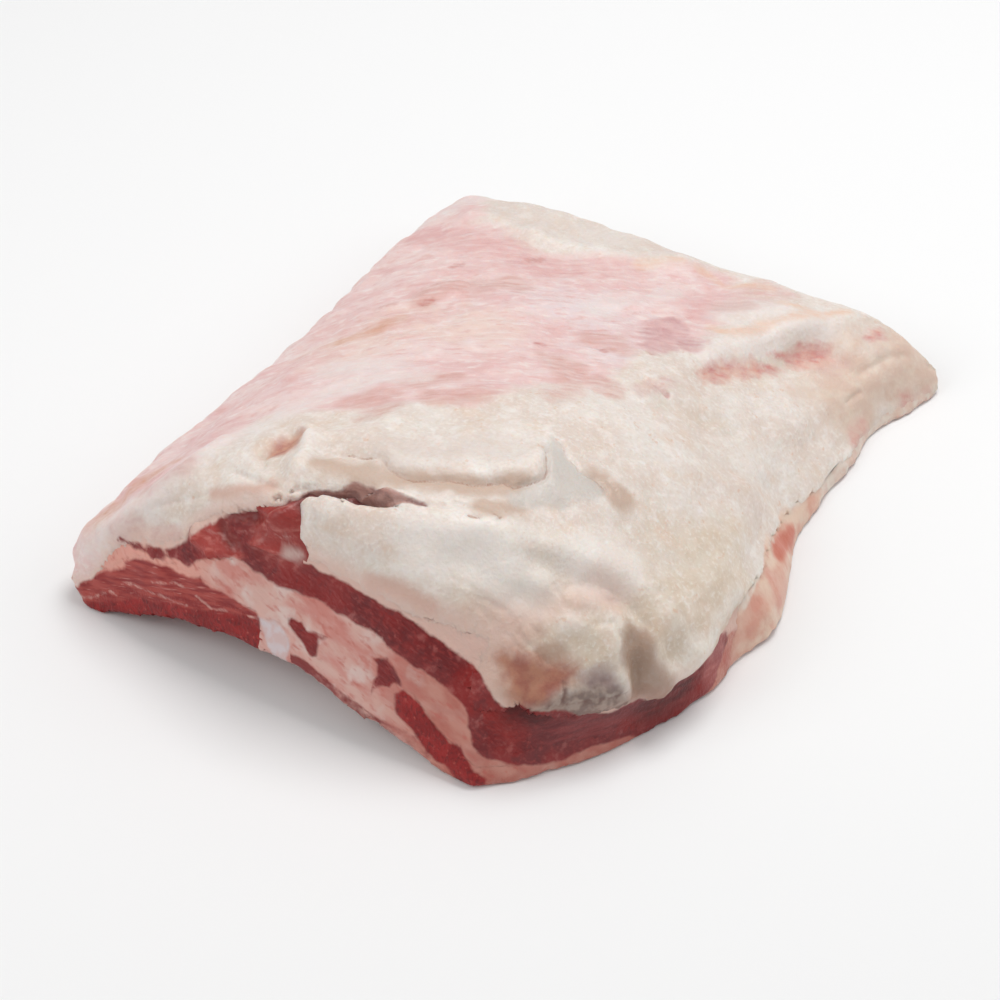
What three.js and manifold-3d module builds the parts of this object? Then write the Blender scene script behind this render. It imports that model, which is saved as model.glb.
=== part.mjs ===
// Raw lamb breast, bone in: a square-cut slab of ribs, lean and fat lying fat side up, millimetres, +Z up.
// The brisket end is sawn across at -X and the thin flank end is at +X. The breastbone side is at -Y and
// the side that was cut from the loin is at +Y. The origin is on the table, under the middle of the slab.
import * as THREE from "three";
import { mergeVertices } from "three/addons/utils/BufferGeometryUtils.js";
import Module from "manifold-3d";

const { lerp, clamp, smoothstep } = THREE.MathUtils;
const wasm = await Module();
wasm.setup();

// Driving dimensions of the slab
const LENGTH = 275; // brisket end to flank end
const WIDTH = 198; // breastbone side to loin side
const THICKNESS = 50; // at the brisket end, on average
const RIB_ARCH = 19; // rise of the hollow under the ribs at the sawn end
const FLANK_ARCH = 7; // the same at the flank end
const BREAST_FOOT = 0.1; // share of the width that lies flat on the table, breastbone side
const LOIN_FOOT = 0.04; // the same, loin side
const RIB_PITCH = 26; // from one rib to the next
const RIB_RELIEF = 2.5; // how far a rib stands out of the underside
const RIBS_END = 0.75; // share of the length that has ribs
const SAW_SETBACK = 17; // the sawn face leans back by this much at its top
const GAP = 0.3; // clearance between neighbouring pieces

// A smooth curve through a few points, level beyond its ends
function curve(...points) {
  const [inputs, outputs] = [points.map((p) => p[0]), points.map((p) => p[1])];
  const cubic = new THREE.CubicInterpolant(inputs, outputs, 1, new Float32Array(1));
  return (x) => cubic.evaluate(clamp(x, inputs[0], inputs.at(-1)))[0];
}

// Plan outline: the two long sides as y over x, and the two ends as x over the share of the width
const breastSide = curve([-130, -72], [-95, -101], [-50, -116], [0, -108], [45, -89], [90, -85], [145, -97]);
const loinSide = curve([-135, 83], [-60, 88], [0, 91], [60, 100], [125, 103]);
const sawnEnd = curve([0, -123], [0.5, -125], [1, -131]);
const flankEnd = curve([0, 147], [0.15, 147], [0.5, 134], [1, 123]);

// From shares of the length and the width to the plan, and back
function planAt(u, v) {
  const x = lerp(sawnEnd(v), flankEnd(v), u);
  return [x, lerp(breastSide(x), loinSide(x), v)];
}

function sharesOf(x, y) {
  const v = clamp((y - breastSide(x)) / (loinSide(x) - breastSide(x)), 0, 1);
  return [clamp((x - sawnEnd(v)) / (flankEnd(v) - sawnEnd(v)), 0, 1), v];
}

// Underside: hollow under the ribs, which stand out of it as low ridges. The saw ran down one of the ribs.
function hollowShare(v) {
  const q = clamp((v - BREAST_FOOT) / (1 - BREAST_FOOT - LOIN_FOOT), 0, 1);
  return 4 * q * (1 - q);
}

function archAt(u, v) {
  return lerp(RIB_ARCH, FLANK_ARCH, smoothstep(u, 0.2, 1)) * hollowShare(v);
}

function ribRelief(u, v) {
  const ridge = Math.max(0, Math.cos((2 * Math.PI * u * LENGTH) / RIB_PITCH)) ** 2;
  return RIB_RELIEF * ridge * smoothstep(hollowShare(v), 0.1, 0.5) * (1 - smoothstep(u, RIBS_END, RIBS_END + 0.1));
}

// Thickness across the width at each end, and how it rolls off towards the four edges
const brisketThickness = curve([0, 52], [0.2, 60], [0.5, 57], [0.8, 47], [1, 41]);
const flankThickness = curve([0, 23], [0.5, 24], [1, 33]);
const ROLL = {
  sawn: { reach: 34, keep: 0.9 },
  flank: { reach: 18, keep: 0.85 },
  breast: { reach: 60, keep: 0.76 },
  breastFlap: { reach: 48, keep: 0.68 },
  loin: { reach: 28, keep: 0.84 },
};

function rollOff(distance, { reach, keep }) {
  return 1 - (1 - keep) * Math.max(0, 1 - distance / reach) ** 2;
}

function thicknessAt(u, v) {
  const body = lerp(brisketThickness(v), flankThickness(v), smoothstep(u, 0.15, 1));
  const breast = lerp(rollOff(v * WIDTH, ROLL.breast), rollOff(v * WIDTH, ROLL.breastFlap), smoothstep(u, 0.3, 0.6));
  const loin = rollOff((1 - v) * WIDTH, ROLL.loin);
  return body * breast * loin * rollOff(u * LENGTH, ROLL.sawn) * rollOff((1 - u) * LENGTH, ROLL.flank);
}

// Broad folds of the fat: ridges, or grooves where the rise is negative, from one point of the plan to another
const FOLDS = [
  { from: [45, -33], to: [112, -45], width: 11, rise: 2.5 },
  { from: [112, -45], to: [147, -64], width: 11, rise: 2.5 },
  { from: [90, -28], to: [128, -30], width: 9, rise: 1.5 },
  { from: [59, -48], to: [112, -66], width: 10, rise: -2.5 },
  { from: [98, 80], to: [99, 44], width: 9, rise: -1.5 },
  { from: [99, 44], to: [127, -19], width: 9, rise: -1.5 },
  { from: [-68, -118], to: [-64, -92], width: 7, rise: -5 },
  { from: [-107, 62], to: [-86, 34], width: 8, rise: 2 },
  { from: [-93, -8], to: [-60, -58], width: 8, rise: -2 },
];

function foldRise(x, y) {
  const at = new THREE.Vector3(x, y, 0);
  const nearest = new THREE.Vector3();
  let sum = 0;
  for (const { from, to, width, rise } of FOLDS) {
    const line = new THREE.Line3(new THREE.Vector3(...from, 0), new THREE.Vector3(...to, 0));
    const away = line.closestPointToPoint(at, true, nearest).distanceTo(at);
    sum += rise * Math.exp(-((away / width) ** 2));
  }
  return sum;
}

// Sideways lean and bulge of the walls at a share w of their height, fading out inside the slab
const WALL_FADE = 45;
const BREAST_LEAN = 8;
const FLAP_LIP = 9;
const LOIN_BULGE = 5;
const LOIN_CORNER_BULGE = 6;
const FLANK_BULGE = 4;

function wallShift(u, v, w) {
  const near = (share, size) => Math.exp(-(share * size) / WALL_FADE);
  const round = Math.sin(Math.PI * w);
  const flap = smoothstep(u, 0.36, 0.46) * (1 - smoothstep(u, 0.75, 0.9));
  const lip = FLAP_LIP * flap * (1 - smoothstep(w, 0.35, 0.65));
  const bulge = LOIN_BULGE + LOIN_CORNER_BULGE * (1 - smoothstep(u, 0, 0.12));
  return [
    SAW_SETBACK * Math.max(0, w) ** 1.4 * near(u, LENGTH) + FLANK_BULGE * round * near(1 - u, LENGTH),
    (BREAST_LEAN * w - lip) * near(v, WIDTH) + bulge * round * near(1 - v, WIDTH),
  ];
}

function slabPoint(u, v, w) {
  const [x, y] = planAt(u, v);
  const [dx, dy] = wallShift(u, v, w);
  const z = archAt(u, v) + w * (thicknessAt(u, v) + foldRise(x + dx, y + dy)) - (1 - w) * ribRelief(u, v);
  return [x + dx, y + dy, z];
}

// The shares at a point of the slab that is w of the way up, found by stepping back along the walls' lean
function sharesAt(x, y, w) {
  let shares = sharesOf(x, y);
  for (let step = 0; step < 4; step++) {
    const [dx, dy] = wallShift(...shares, w);
    shares = sharesOf(x - dx, y - dy);
  }
  return shares;
}

// A box of unit size with its corners at 0 and 1, moved point by point
function warpedBox(nu, nv, nw, place) {
  const box = new THREE.BoxGeometry(1, 1, 1, nu, nv, nw).translate(0.5, 0.5, 0.5);
  const at = box.getAttribute("position");
  for (let i = 0; i < at.count; i++) at.setXYZ(i, ...place(at.getX(i), at.getY(i), at.getZ(i)));
  return solidOf(box);
}

function solidOf(geometry) {
  geometry.deleteAttribute("normal");
  geometry.deleteAttribute("uv");
  const merged = mergeVertices(geometry, 1e-3);
  return new wasm.Manifold(
    new wasm.Mesh({
      numProp: 3,
      vertProperties: merged.getAttribute("position").array,
      triVerts: new Uint32Array(merged.index.array),
    }),
  );
}

function geometryOf(solid) {
  const mesh = solid.getMesh();
  return new THREE.BufferGeometry()
    .setAttribute("position", new THREE.BufferAttribute(mesh.vertProperties, 3))
    .setIndex(new THREE.BufferAttribute(mesh.triVerts, 1));
}

// Layer boundaries: tops of the layers as shares of the thickness, over the width at the sawn face, and over the
// length along the breastbone side
const ribTop = curve(
  [0.44, -0.3], [0.5, 0], [0.53, 0.22], [0.62, 0.28], [0.7, 0.35], [0.78, 0.41], [0.84, 0.44], [0.9, 0.33], [1, 0.22],
);
const seamTop = curve(
  [0, 0.5], [0.04, 0.68], [0.12, 0.65], [0.2, 0.55], [0.3, 0.53], [0.4, 0.49], [0.5, 0.47], [0.6, 0.55],
  [0.7, 0.44], [0.8, 0.48], [0.88, 0.52], [0.94, 0.3], [1, 0.1],
);
const leanTop = curve(
  [0, 0.7], [0.04, 0.91], [0.1, 0.92], [0.2, 0.79], [0.33, 0.71], [0.45, 0.72], [0.55, 0.88], [0.63, 0.84],
  [0.7, 0.72], [0.75, 0.56], [0.85, 0.6], [0.9, 0.62], [0.95, 0.2], [1, 0],
);
const seamTopBeside = curve(
  [0, 0.5], [0.03, 0.26], [0.13, 0.22], [0.17, 0.13], [0.2, 0], [0.3, -0.1], [0.34, 0], [0.39, 0.47], [0.45, 0.51],
  [0.53, 0.48], [0.59, 0.39], [0.65, 0.28], [0.8, 0.2], [1, 0.2],
);
const leanTopBeside = curve(
  [0, 0.7], [0.03, 0.59], [0.07, 0.53], [0.13, 0.44], [0.27, 0.425], [0.32, 0.446], [0.354, 0.425], [0.39, 0.1], [1, 0],
);

function blended(beside, across, u, v) {
  const reach = lerp(0.04, 0.12, smoothstep(u, 0, 0.08));
  return lerp(beside(u), across(v), smoothstep(v, 0, reach));
}

// The muscles thin out towards the flank, those between the ribs first
function ribLeanTop(u, v) {
  return ribTop(v) - 0.6 * smoothstep(u, 0.7, 0.85);
}

function seamFatTop(u, v) {
  return blended(seamTopBeside, seamTop, u, v);
}

function leanBandTop(u, v) {
  return blended(leanTopBeside, leanTop, u, v) - 0.6 * smoothstep(u, 0.72, 0.9);
}

function underFat(u, v) {
  return Math.max(seamFatTop(u, v), leanBandTop(u, v));
}

// The space over a layer's top, across the whole plan, with closer steps towards the sawn face
const BLOCK = { low: [-150, -150], size: [330, 290], cells: [16, 30], crowding: 1.5, top: 130 };

function spaceOver(layerTop, level) {
  return warpedBox(...BLOCK.cells, 1, (p, q, r) => {
    const x = BLOCK.low[0] + p ** BLOCK.crowding * BLOCK.size[0];
    const y = BLOCK.low[1] + q * BLOCK.size[1];
    const [u, v] = sharesAt(x, y, level);
    return [x, y, r > 0.5 ? BLOCK.top : archAt(u, v) + layerTop(u, v) * thicknessAt(u, v)];
  });
}

// Splits a solid at a layer's top, with a gap, and gives the part above and the part below
function split(solid, layerTop, level) {
  const over = spaceOver(layerTop, level);
  return [largest(solid.intersect(over)), largest(solid.subtract(over.translate(0, 0, -GAP)))];
}

function largest(solid) {
  return solid.decompose().sort((a, b) => b.volume() - a.volume())[0];
}

// Pieces that end at the sawn face: the line of their section there, in shares of the width and the thickness, its
// half height at each end, how blunt its ends are, and how far the piece runs in
const SECTIONS = {
  sawn_rib: { from: [0.525, 0.05], to: [0.995, 0.02], half: [0.17, 0.13], blunt: 8, depth: 7 },
  rib_cartilage: { from: [0.462, 0.05], to: [0.518, 0.05], half: [0.18, 0.18], blunt: 4, depth: 7 },
  breast_bone: { from: [0.005, 0.1], to: [0.185, 0.3], half: [0.12, 0.1], blunt: 6, depth: 12 },
  lean_slip_ribs: { from: [0.375, 0.17], to: [0.45, 0.27], half: [0.06, 0.05], blunt: 2, depth: 16 },
  lean_slip_bone: { from: [0.205, 0.31], to: [0.256, 0.37], half: [0.04, 0.06], blunt: 2, depth: 16 },
};

function sectionBar({ from, to, half, blunt, depth }, grow) {
  return warpedBox(12, 3, 3, (p, q, r) => {
    const along = 2 * p - 1;
    const swell = Math.max(0.2, Math.sqrt(1 - Math.abs(along) ** blunt));
    const taper = Math.sqrt(1 - 0.85 * r * r);
    const v = lerp(from[0], to[0], p) + (along * grow) / WIDTH;
    const reach = lerp(half[0], half[1], p) * swell * taper + grow / THICKNESS;
    const u = r > 0 ? (r * (depth + grow)) / LENGTH : -0.02;
    return slabPoint(u, v, lerp(from[1], to[1], p) + (2 * q - 1) * reach);
  });
}

// Cleft in the fat that runs from the sawn face to a point, with the lean showing in it
const CLEFT = [[-135, 16], [-109, 12], [-94, -9], [-92, -30], [-79, -54], [-95, -30], [-107, -5], [-135, -3]];

function cleftCutter() {
  const outline = new THREE.Shape(CLEFT.map(([x, y]) => new THREE.Vector2(x, y)));
  return solidOf(new THREE.ExtrudeGeometry(outline, { depth: BLOCK.top, bevelEnabled: false }));
}

const slab = warpedBox(36, 25, 4, slabPoint);
const [fatOverLean, leanAndBelow] = split(slab, underFat, 0.85);
const [leanBand, seamAndBelow] = split(leanAndBelow, seamFatTop, 0.55);
const [seamSolid, ribSolid] = split(seamAndBelow, ribLeanTop, 0.3);

function withoutSections(solid) {
  const beds = Object.values(SECTIONS).map((section) => sectionBar(section, GAP));
  return largest(beds.reduce((rest, bed) => rest.subtract(bed), solid));
}

const breast = new THREE.Group();
function add(name, solid, color, roughness) {
  const mesh = new THREE.Mesh(geometryOf(solid), new THREE.MeshStandardMaterial({ color, roughness, metalness: 0 }));
  mesh.name = name;
  breast.add(mesh);
}

const FAT = 0xe4d8cc;
const LEAN = 0x8a3c3c;
const PINK_FAT = 0xd8a79b;
const RIB_LEAN = 0x7d3330;
const BONE = 0x6e2a2a;
const CARTILAGE = 0xd6d0d8;
add("fat_cover", largest(fatOverLean.subtract(cleftCutter())), FAT, 0.5);
add("lean_band", leanBand, LEAN, 0.4);
add("seam_fat", withoutSections(seamSolid), PINK_FAT, 0.5);
add("rib_lean", withoutSections(ribSolid), RIB_LEAN, 0.4);
const sectionColours = [BONE, CARTILAGE, BONE, LEAN, LEAN];
Object.entries(SECTIONS).forEach(([name, section], i) => {
  add(name, largest(slab.intersect(sectionBar(section, 0))), sectionColours[i], 0.45);
});

// Origin on the table, under the middle of the slab
const box = new THREE.Box3().setFromObject(breast);
const middle = box.getCenter(new THREE.Vector3()).setZ(box.min.z);
for (const mesh of breast.children) mesh.geometry.translate(-middle.x, -middle.y, -middle.z);

export default breast;
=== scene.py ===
import itertools
import math

import bmesh
import bpy
import numpy as np
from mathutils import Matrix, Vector
from mathutils.bvhtree import BVHTree


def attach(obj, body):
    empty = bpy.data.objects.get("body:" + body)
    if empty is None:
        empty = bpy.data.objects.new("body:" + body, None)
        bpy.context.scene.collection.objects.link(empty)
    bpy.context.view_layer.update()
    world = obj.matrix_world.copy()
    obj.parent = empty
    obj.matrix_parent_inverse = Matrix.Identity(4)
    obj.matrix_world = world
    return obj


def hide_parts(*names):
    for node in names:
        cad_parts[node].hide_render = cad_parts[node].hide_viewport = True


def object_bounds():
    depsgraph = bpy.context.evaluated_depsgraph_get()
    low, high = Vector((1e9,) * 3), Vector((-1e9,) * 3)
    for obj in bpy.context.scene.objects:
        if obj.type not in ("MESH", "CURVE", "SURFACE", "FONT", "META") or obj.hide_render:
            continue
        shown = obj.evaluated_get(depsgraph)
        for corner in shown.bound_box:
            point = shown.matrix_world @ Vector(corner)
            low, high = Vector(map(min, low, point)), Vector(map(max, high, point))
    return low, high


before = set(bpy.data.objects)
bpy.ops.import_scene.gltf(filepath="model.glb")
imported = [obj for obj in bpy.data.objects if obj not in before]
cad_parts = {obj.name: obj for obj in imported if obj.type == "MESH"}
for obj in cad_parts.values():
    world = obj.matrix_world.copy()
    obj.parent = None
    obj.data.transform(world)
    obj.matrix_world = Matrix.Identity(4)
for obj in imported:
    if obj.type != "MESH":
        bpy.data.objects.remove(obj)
cad_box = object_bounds()
MM = 0.001

# The sawn rib
# The saw ran lengthways down one rib, so half of it lies open along the bottom edge: dark red, spongy bone
# inside a thin hard rim. It is grown fast to the lean above it, shreds of which hang over it.
RIB_SKIN = 0.6 * MM
RAW_SHINE = 0.38
SMALL_LIFT = 0.84  # how far small tissues stand proud of the shared skin, in millimetres; large ones lie lower
# Edges of the tissues on the saw cut, from the loin to the breast, in millimetres
BONE_TOP = ((-141, 90, -1), (-140, 82, 4), (-139, 77, 7), (-138, 70, 10), (-138, 63, 14), (-137, 56, 16),
            (-136, 50, 19), (-136, 43, 20), (-135, 37, 22), (-135, 30, 24), (-134, 23, 26), (-133, 14, 29))
BONE_END = ((-134, 12, 25), (-134, 10, 21), (-135, 8, 17), (-137, 30, 0), (-141, 70, -12), (-142, 95, -12))
MEAT_TOP = ((-139, 93, 5), (-138, 91, 8), (-137, 86, 12), (-136, 81, 17), (-135, 77, 19), (-135, 72, 22),
            (-134, 71, 25), (-133, 69, 27), (-133, 65, 29), (-133, 59, 30), (-133, 54, 31), (-133, 48, 31),
            (-133, 43, 32), (-132, 39, 34), (-133, 38, 32), (-133, 34, 32), (-133, 28, 32), (-133, 21, 31),
            (-133, 15, 31))
# Threads of fat in the lean over the rib
THREADS = (
    ((-140, 89, 3), (-139, 85, 5), (-138, 77, 11), (-138, 74, 11)),
    ((-137, 72, 16), (-137, 66, 18), (-136, 60, 19), (-136, 57, 19), (-136, 50, 20), (-136, 43, 21)),
    ((-135, 59, 23), (-135, 54, 25), (-134, 49, 27), (-134, 44, 27)),
    ((-135, 40, 26), (-135, 33, 24), (-134, 27, 26)),
)


def even_skin(name, quad, *nodes):
    """A copy of a solid, or of some joined, with an even skin of small quads, ready to be shaped as flesh."""
    mesh = bpy.data.meshes.new("rough")
    welded = bmesh.new()
    for node in nodes:
        welded.from_mesh(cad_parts[node].data)
    bmesh.ops.remove_doubles(welded, verts=welded.verts, dist=0.001 * MM)
    welded.to_mesh(mesh)
    welded.free()
    rough = bpy.data.objects.new("rough", mesh)
    bpy.context.collection.objects.link(rough)
    remesh = rough.modifiers.new("even_skin", "REMESH")
    remesh.mode = "VOXEL"
    remesh.voxel_size = quad
    remesh.use_smooth_shade = True
    shaped = rough.evaluated_get(bpy.context.evaluated_depsgraph_get())
    piece = bpy.data.objects.new(name, bpy.data.meshes.new_from_object(shaped))
    bpy.data.objects.remove(rough)
    bpy.context.collection.objects.link(piece)
    return piece


def rows_of(items, what):
    """One row of three numbers for each point or quad of a mesh."""
    flat = np.empty(3 * len(items))
    items.foreach_get(what, flat)
    return flat.reshape(-1, 3)


def places_of(piece):
    return rows_of(piece.data.vertices, "co")


def outward_of(piece):
    return rows_of(piece.data.vertices, "normal")


def put(piece, places):
    piece.data.vertices.foreach_set("co", places.ravel())
    piece.data.update()


def ease(value, low, high):
    """0 below low, 1 above high, and a smooth rise between."""
    share = np.clip((value - low) / (high - low), 0, 1)
    return share * share * (3 - 2 * share)


RANDOM_CELLS = np.random.default_rng(11).uniform(-1, 1, (32, 32, 32))


def lumps(places, size, shift=0.0):
    """Smooth random heights from -1 to 1, as far apart as the given size. A shift gives other heights."""
    cell = places / size + shift
    low = np.floor(cell).astype(int)
    part = cell - low
    part = part * part * (3 - 2 * part)
    total = np.zeros(len(places))
    for corner in itertools.product((0, 1), repeat=3):
        i, j, k = ((low + corner) % len(RANDOM_CELLS)).T
        total += RANDOM_CELLS[i, j, k] * np.prod(np.where(corner, part, 1 - part), axis=1)
    return total


def settled(places):
    """Where flesh comes to lie: it strays from its plain form, and the breast side draws in below the rolled fat.
    It is the same for all tissues at one place, so that cuts stay flush."""
    x, y, z = places.T / MM
    moved = places.copy()
    moved[:, 1] += 3 * MM * ease(-y, 60, 98) * (1 - ease(z, 8, 24)) * ease(x, -128, -108) * (1 - ease(x, -66, -40))
    for size, reach in ((17 * MM, 0.9 * MM), (7 * MM, 0.45 * MM), (3 * MM, 0.15 * MM)):
        for axis in range(3):
            moved[:, axis] += reach * lumps(places, size, 5.3 + 7.7 * axis)
    return moved


def relax(piece, places, freedom, rounds):
    """Evens out facets: each point moves towards the middle of its neighbours by its share of freedom."""
    edges = np.empty(2 * len(piece.data.edges), dtype=np.int32)
    piece.data.edges.foreach_get("vertices", edges)
    one, other = edges.reshape(-1, 2).T
    count = np.bincount(one, minlength=len(places)) + np.bincount(other, minlength=len(places))
    share = 0.5 * np.broadcast_to(freedom, len(places))[:, None]
    for _ in range(rounds):
        middle = np.empty_like(places)
        for axis in range(3):
            middle[:, axis] = np.bincount(one, places[other, axis], len(places))
            middle[:, axis] += np.bincount(other, places[one, axis], len(places))
        places = places + share * (middle / count[:, None] - places)
    return places


# The skin of the whole cut of meat, which saw and knife leave flush across all its tissues
whole = even_skin("whole", 1.3 * MM, *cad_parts)
whole_places = relax(whole, places_of(whole), 1.0, 6)
skin_quads = [p.vertices[:] for p in whole.data.polygons]
whole_skin = BVHTree.FromPolygons(whole_places.tolist(), skin_quads)
put(whole, settled(whole_places))
skin_places, skin_facing = places_of(whole), outward_of(whole)
settled_skin = BVHTree.FromPolygons(skin_places.tolist(), skin_quads)
skin_quads = np.array(skin_quads)
bpy.data.objects.remove(whole)
OVERLAP = 2.2  # how far tissues grow into each other beside the skin, in millimetres
RIM_DIP = 0.5  # how far their rims dip below the skin there
SINK = 0.7  # how far a rim is sunk where it folds over itself
SHALLOW = 4  # how deep below the skin tissues still grow into each other
DRAW_BACK = 0.4  # how far they draw back from each other deeper down
RIM_REACH = 1.6  # how close to the skin a rim is shaded like it


def below_skin(places):
    """How deep each place lies below the skin of the whole, in millimetres, with the nearest place and its facing."""
    found = [whole_skin.find_nearest(p)[:2] for p in places.tolist()]
    skin, facing = np.array([tuple(a) + tuple(b) for a, b in found]).reshape(-1, 2, 3).transpose(1, 0, 2)
    return ((skin - places) * facing).sum(axis=1) / MM, skin, facing


def flush(piece, places, lift, share=1.0):
    """A tissue's places once it is grown into its neighbours beside the skin of the whole, and laid on that skin,
    lifted a little. A share below 1 leaves the tissue's own skin as it is."""
    put(piece, places)
    outward = outward_of(piece)
    own = places + lift * MM * outward
    before, _, facing = below_skin(places)
    upward = (outward * facing).sum(axis=1)
    covered = ease(before, 0.8, 1.8) * ease(upward, 0.4, 0.8)
    shallow = (before < SHALLOW) & (covered < 0.5)
    dip = (lift - RIM_DIP * ease(before, 0.35, 1.0) * (1 - ease(upward, 0.3, 0.8)))[:, None] * MM
    grown = places - DRAW_BACK * MM * outward
    beside_skin = places[shallow] + OVERLAP * MM * outward[shallow]
    depth, skin, facing = below_skin(beside_skin)
    laid = (1 - ease(depth, 0.8, 2.0))[:, None]
    buried = ease(depth, 0.8, 2.4)[:, None]
    beside_skin = beside_skin + buried * (grown[shallow] - beside_skin)
    grown[shallow] = beside_skin + laid * (skin + dip[shallow] * facing - beside_skin)
    grown = relax(piece, grown, np.where(shallow, ease(before, 0.1, 0.5), 0), 2)
    again = np.flatnonzero(shallow)[laid[:, 0] > 0.5]
    skin, facing = below_skin(grown[again])[1:]
    grown[again] = skin + dip[again] * facing
    put(piece, grown)
    upwards = np.zeros_like(grown)
    upwards[again] = facing
    ring = np.array([p.vertices[:] for p in piece.data.polygons])
    turned_over = ring[(upwards[ring].sum(axis=1) * rows_of(piece.data.polygons, "normal")).sum(axis=1) < 0.1]
    sunk = np.unique(turned_over)
    grown[sunk] -= SINK * MM * upwards[sunk]
    return own + np.broadcast_to(share, len(own))[:, None] * (grown - own)


def settle(piece, places, lift, cut=True):
    """Puts a tissue's places where they come to lie, none below the table. Where it is cut flush, its rims are
    shaded like the skin of the whole, so that no seam shows between tissues."""
    places = settled(places)
    places[:, 2] = np.maximum(places[:, 2], (1 - lift) * MM)
    put(piece, places)
    cut = np.flatnonzero(np.broadcast_to(cut, len(places)))
    places, shading = places_of(piece)[cut], outward_of(piece)
    quad, gap = np.array([settled_skin.find_nearest(p)[2:] for p in places.tolist()]).T
    ring = skin_quads[quad.astype(int)]
    near = 1 / (((skin_places[ring] - places[:, None]) ** 2).sum(axis=2) + (0.3 * MM) ** 2)
    facing = (skin_facing[ring] * near[..., None]).sum(axis=1)
    facing /= np.linalg.norm(facing, axis=1)[:, None]
    alike = (facing * shading[cut]).sum(axis=1)
    tilted = (gap < RIM_REACH * MM) & (alike > 0) & (alike < 0.96)
    shading[cut[tilted]] = facing[tilted]
    piece.data.normals_split_custom_set_from_vertices(shading.tolist())


def grow_in(piece, lift, rounds=4):
    """Evens out a small tissue, grows it into its neighbours and puts it where it comes to lie."""
    settle(piece, flush(piece, relax(piece, places_of(piece), 1.0, rounds), lift), lift)


CORNER = math.radians(-54)  # the azimuth that the sawn corner faces


def on_cut(spots):
    """Where spots show, seen from straight before the sawn corner: across and up."""
    return np.stack([spots[:, 0] * math.cos(CORNER) + spots[:, 1] * math.sin(CORNER), spots[:, 2]], 1)


def in_plan(spots):
    return spots[:, :2]


def in_space(spots):
    return spots


def from_stretch(spots, start, end):
    """How far spots are from a straight stretch, and how far along it their nearest point is, from 0 to 1."""
    run = end - start
    share = np.clip(((spots - start) @ run) / max(run @ run, 1e-9), 0, 1)
    return np.linalg.norm(spots - start - share[:, None] * run, axis=1), share


def apart(line, places, seen=in_space):
    """How far each place is from a line through a few points, and how far along it, from 0 to 1. All in
    millimetres, as seen in space, in the plan or on the cut."""
    points = seen(np.array(line, float))
    spots = seen(places / MM)
    nearest = np.full(len(spots), 1e9)
    along = np.zeros(len(spots))
    for i, (start, end) in enumerate(zip(points[:-1], points[1:])):
        gap, share = from_stretch(spots, start, end)
        closer = gap < nearest
        nearest[closer] = gap[closer]
        along[closer] = ((i + share) / (len(points) - 1))[closer]
    return nearest, along


def inside(outline, places, seen=on_cut):
    """How far each place lies within a closed outline, in millimetres, less than 0 outside it."""
    spots, ring = seen(places / MM), seen(np.array(outline, float))
    gap = np.full(len(spots), 1e9)
    within = np.zeros(len(spots), dtype=bool)
    for start, end in zip(ring, np.roll(ring, -1, axis=0)):
        run = end - start
        gap = np.minimum(gap, from_stretch(spots, start, end)[0])
        crossed = start[0] + (spots[:, 1] - start[1]) * run[0] / (run[1] or 1e-9)
        within ^= ((start[1] > spots[:, 1]) != (end[1] > spots[:, 1])) & (spots[:, 0] < crossed)
    return np.where(within, gap, -gap)


REACH = 13.0  # how far about an outline or a line its mark is worked out, in millimetres


def drawn(places, own, *outlines):
    """How far each place lies within any of some outlines on the cut. Far from them all it is well inside if the
    tissue is the piece's own, and well outside if not."""
    depth = np.full(len(places), REACH if own else -REACH)
    found = np.zeros(len(places), dtype=bool)
    for outline in outlines:
        near = apart((*outline, outline[0]), places)[0] < REACH
        here = inside(outline, places)
        depth = np.where(near, np.where(found, np.maximum(depth, here), here), depth)
        found |= near
    return depth


def beside(places, *lines):
    """How far each place is from the nearest of some lines, in millimetres."""
    return np.min([apart(line, places)[0] for line in lines], axis=0)


def traced(places, *lines):
    """How far each place is from the nearest of some lines as they show on the cut, in millimetres."""
    shown = np.min([apart(line, places, on_cut)[0] for line in lines], axis=0)
    return np.where(beside(places, *lines) < REACH, shown, REACH)


def mark(piece, name, values):
    """Keeps a value for each point of a piece, which its material reads by name."""
    piece.data.attributes.new(name, "FLOAT", "POINT").data.foreach_set("value", values.astype(np.float32))


def colour(red, green, blue):
    """A colour as the eye sees it, 0 to 255, in the light that a shader works in."""
    light = [v / 255 / 12.92 if v < 10.3 else ((v / 255 + 0.055) / 1.055) ** 2.4 for v in (red, green, blue)]
    return (*light, 1.0)


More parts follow.
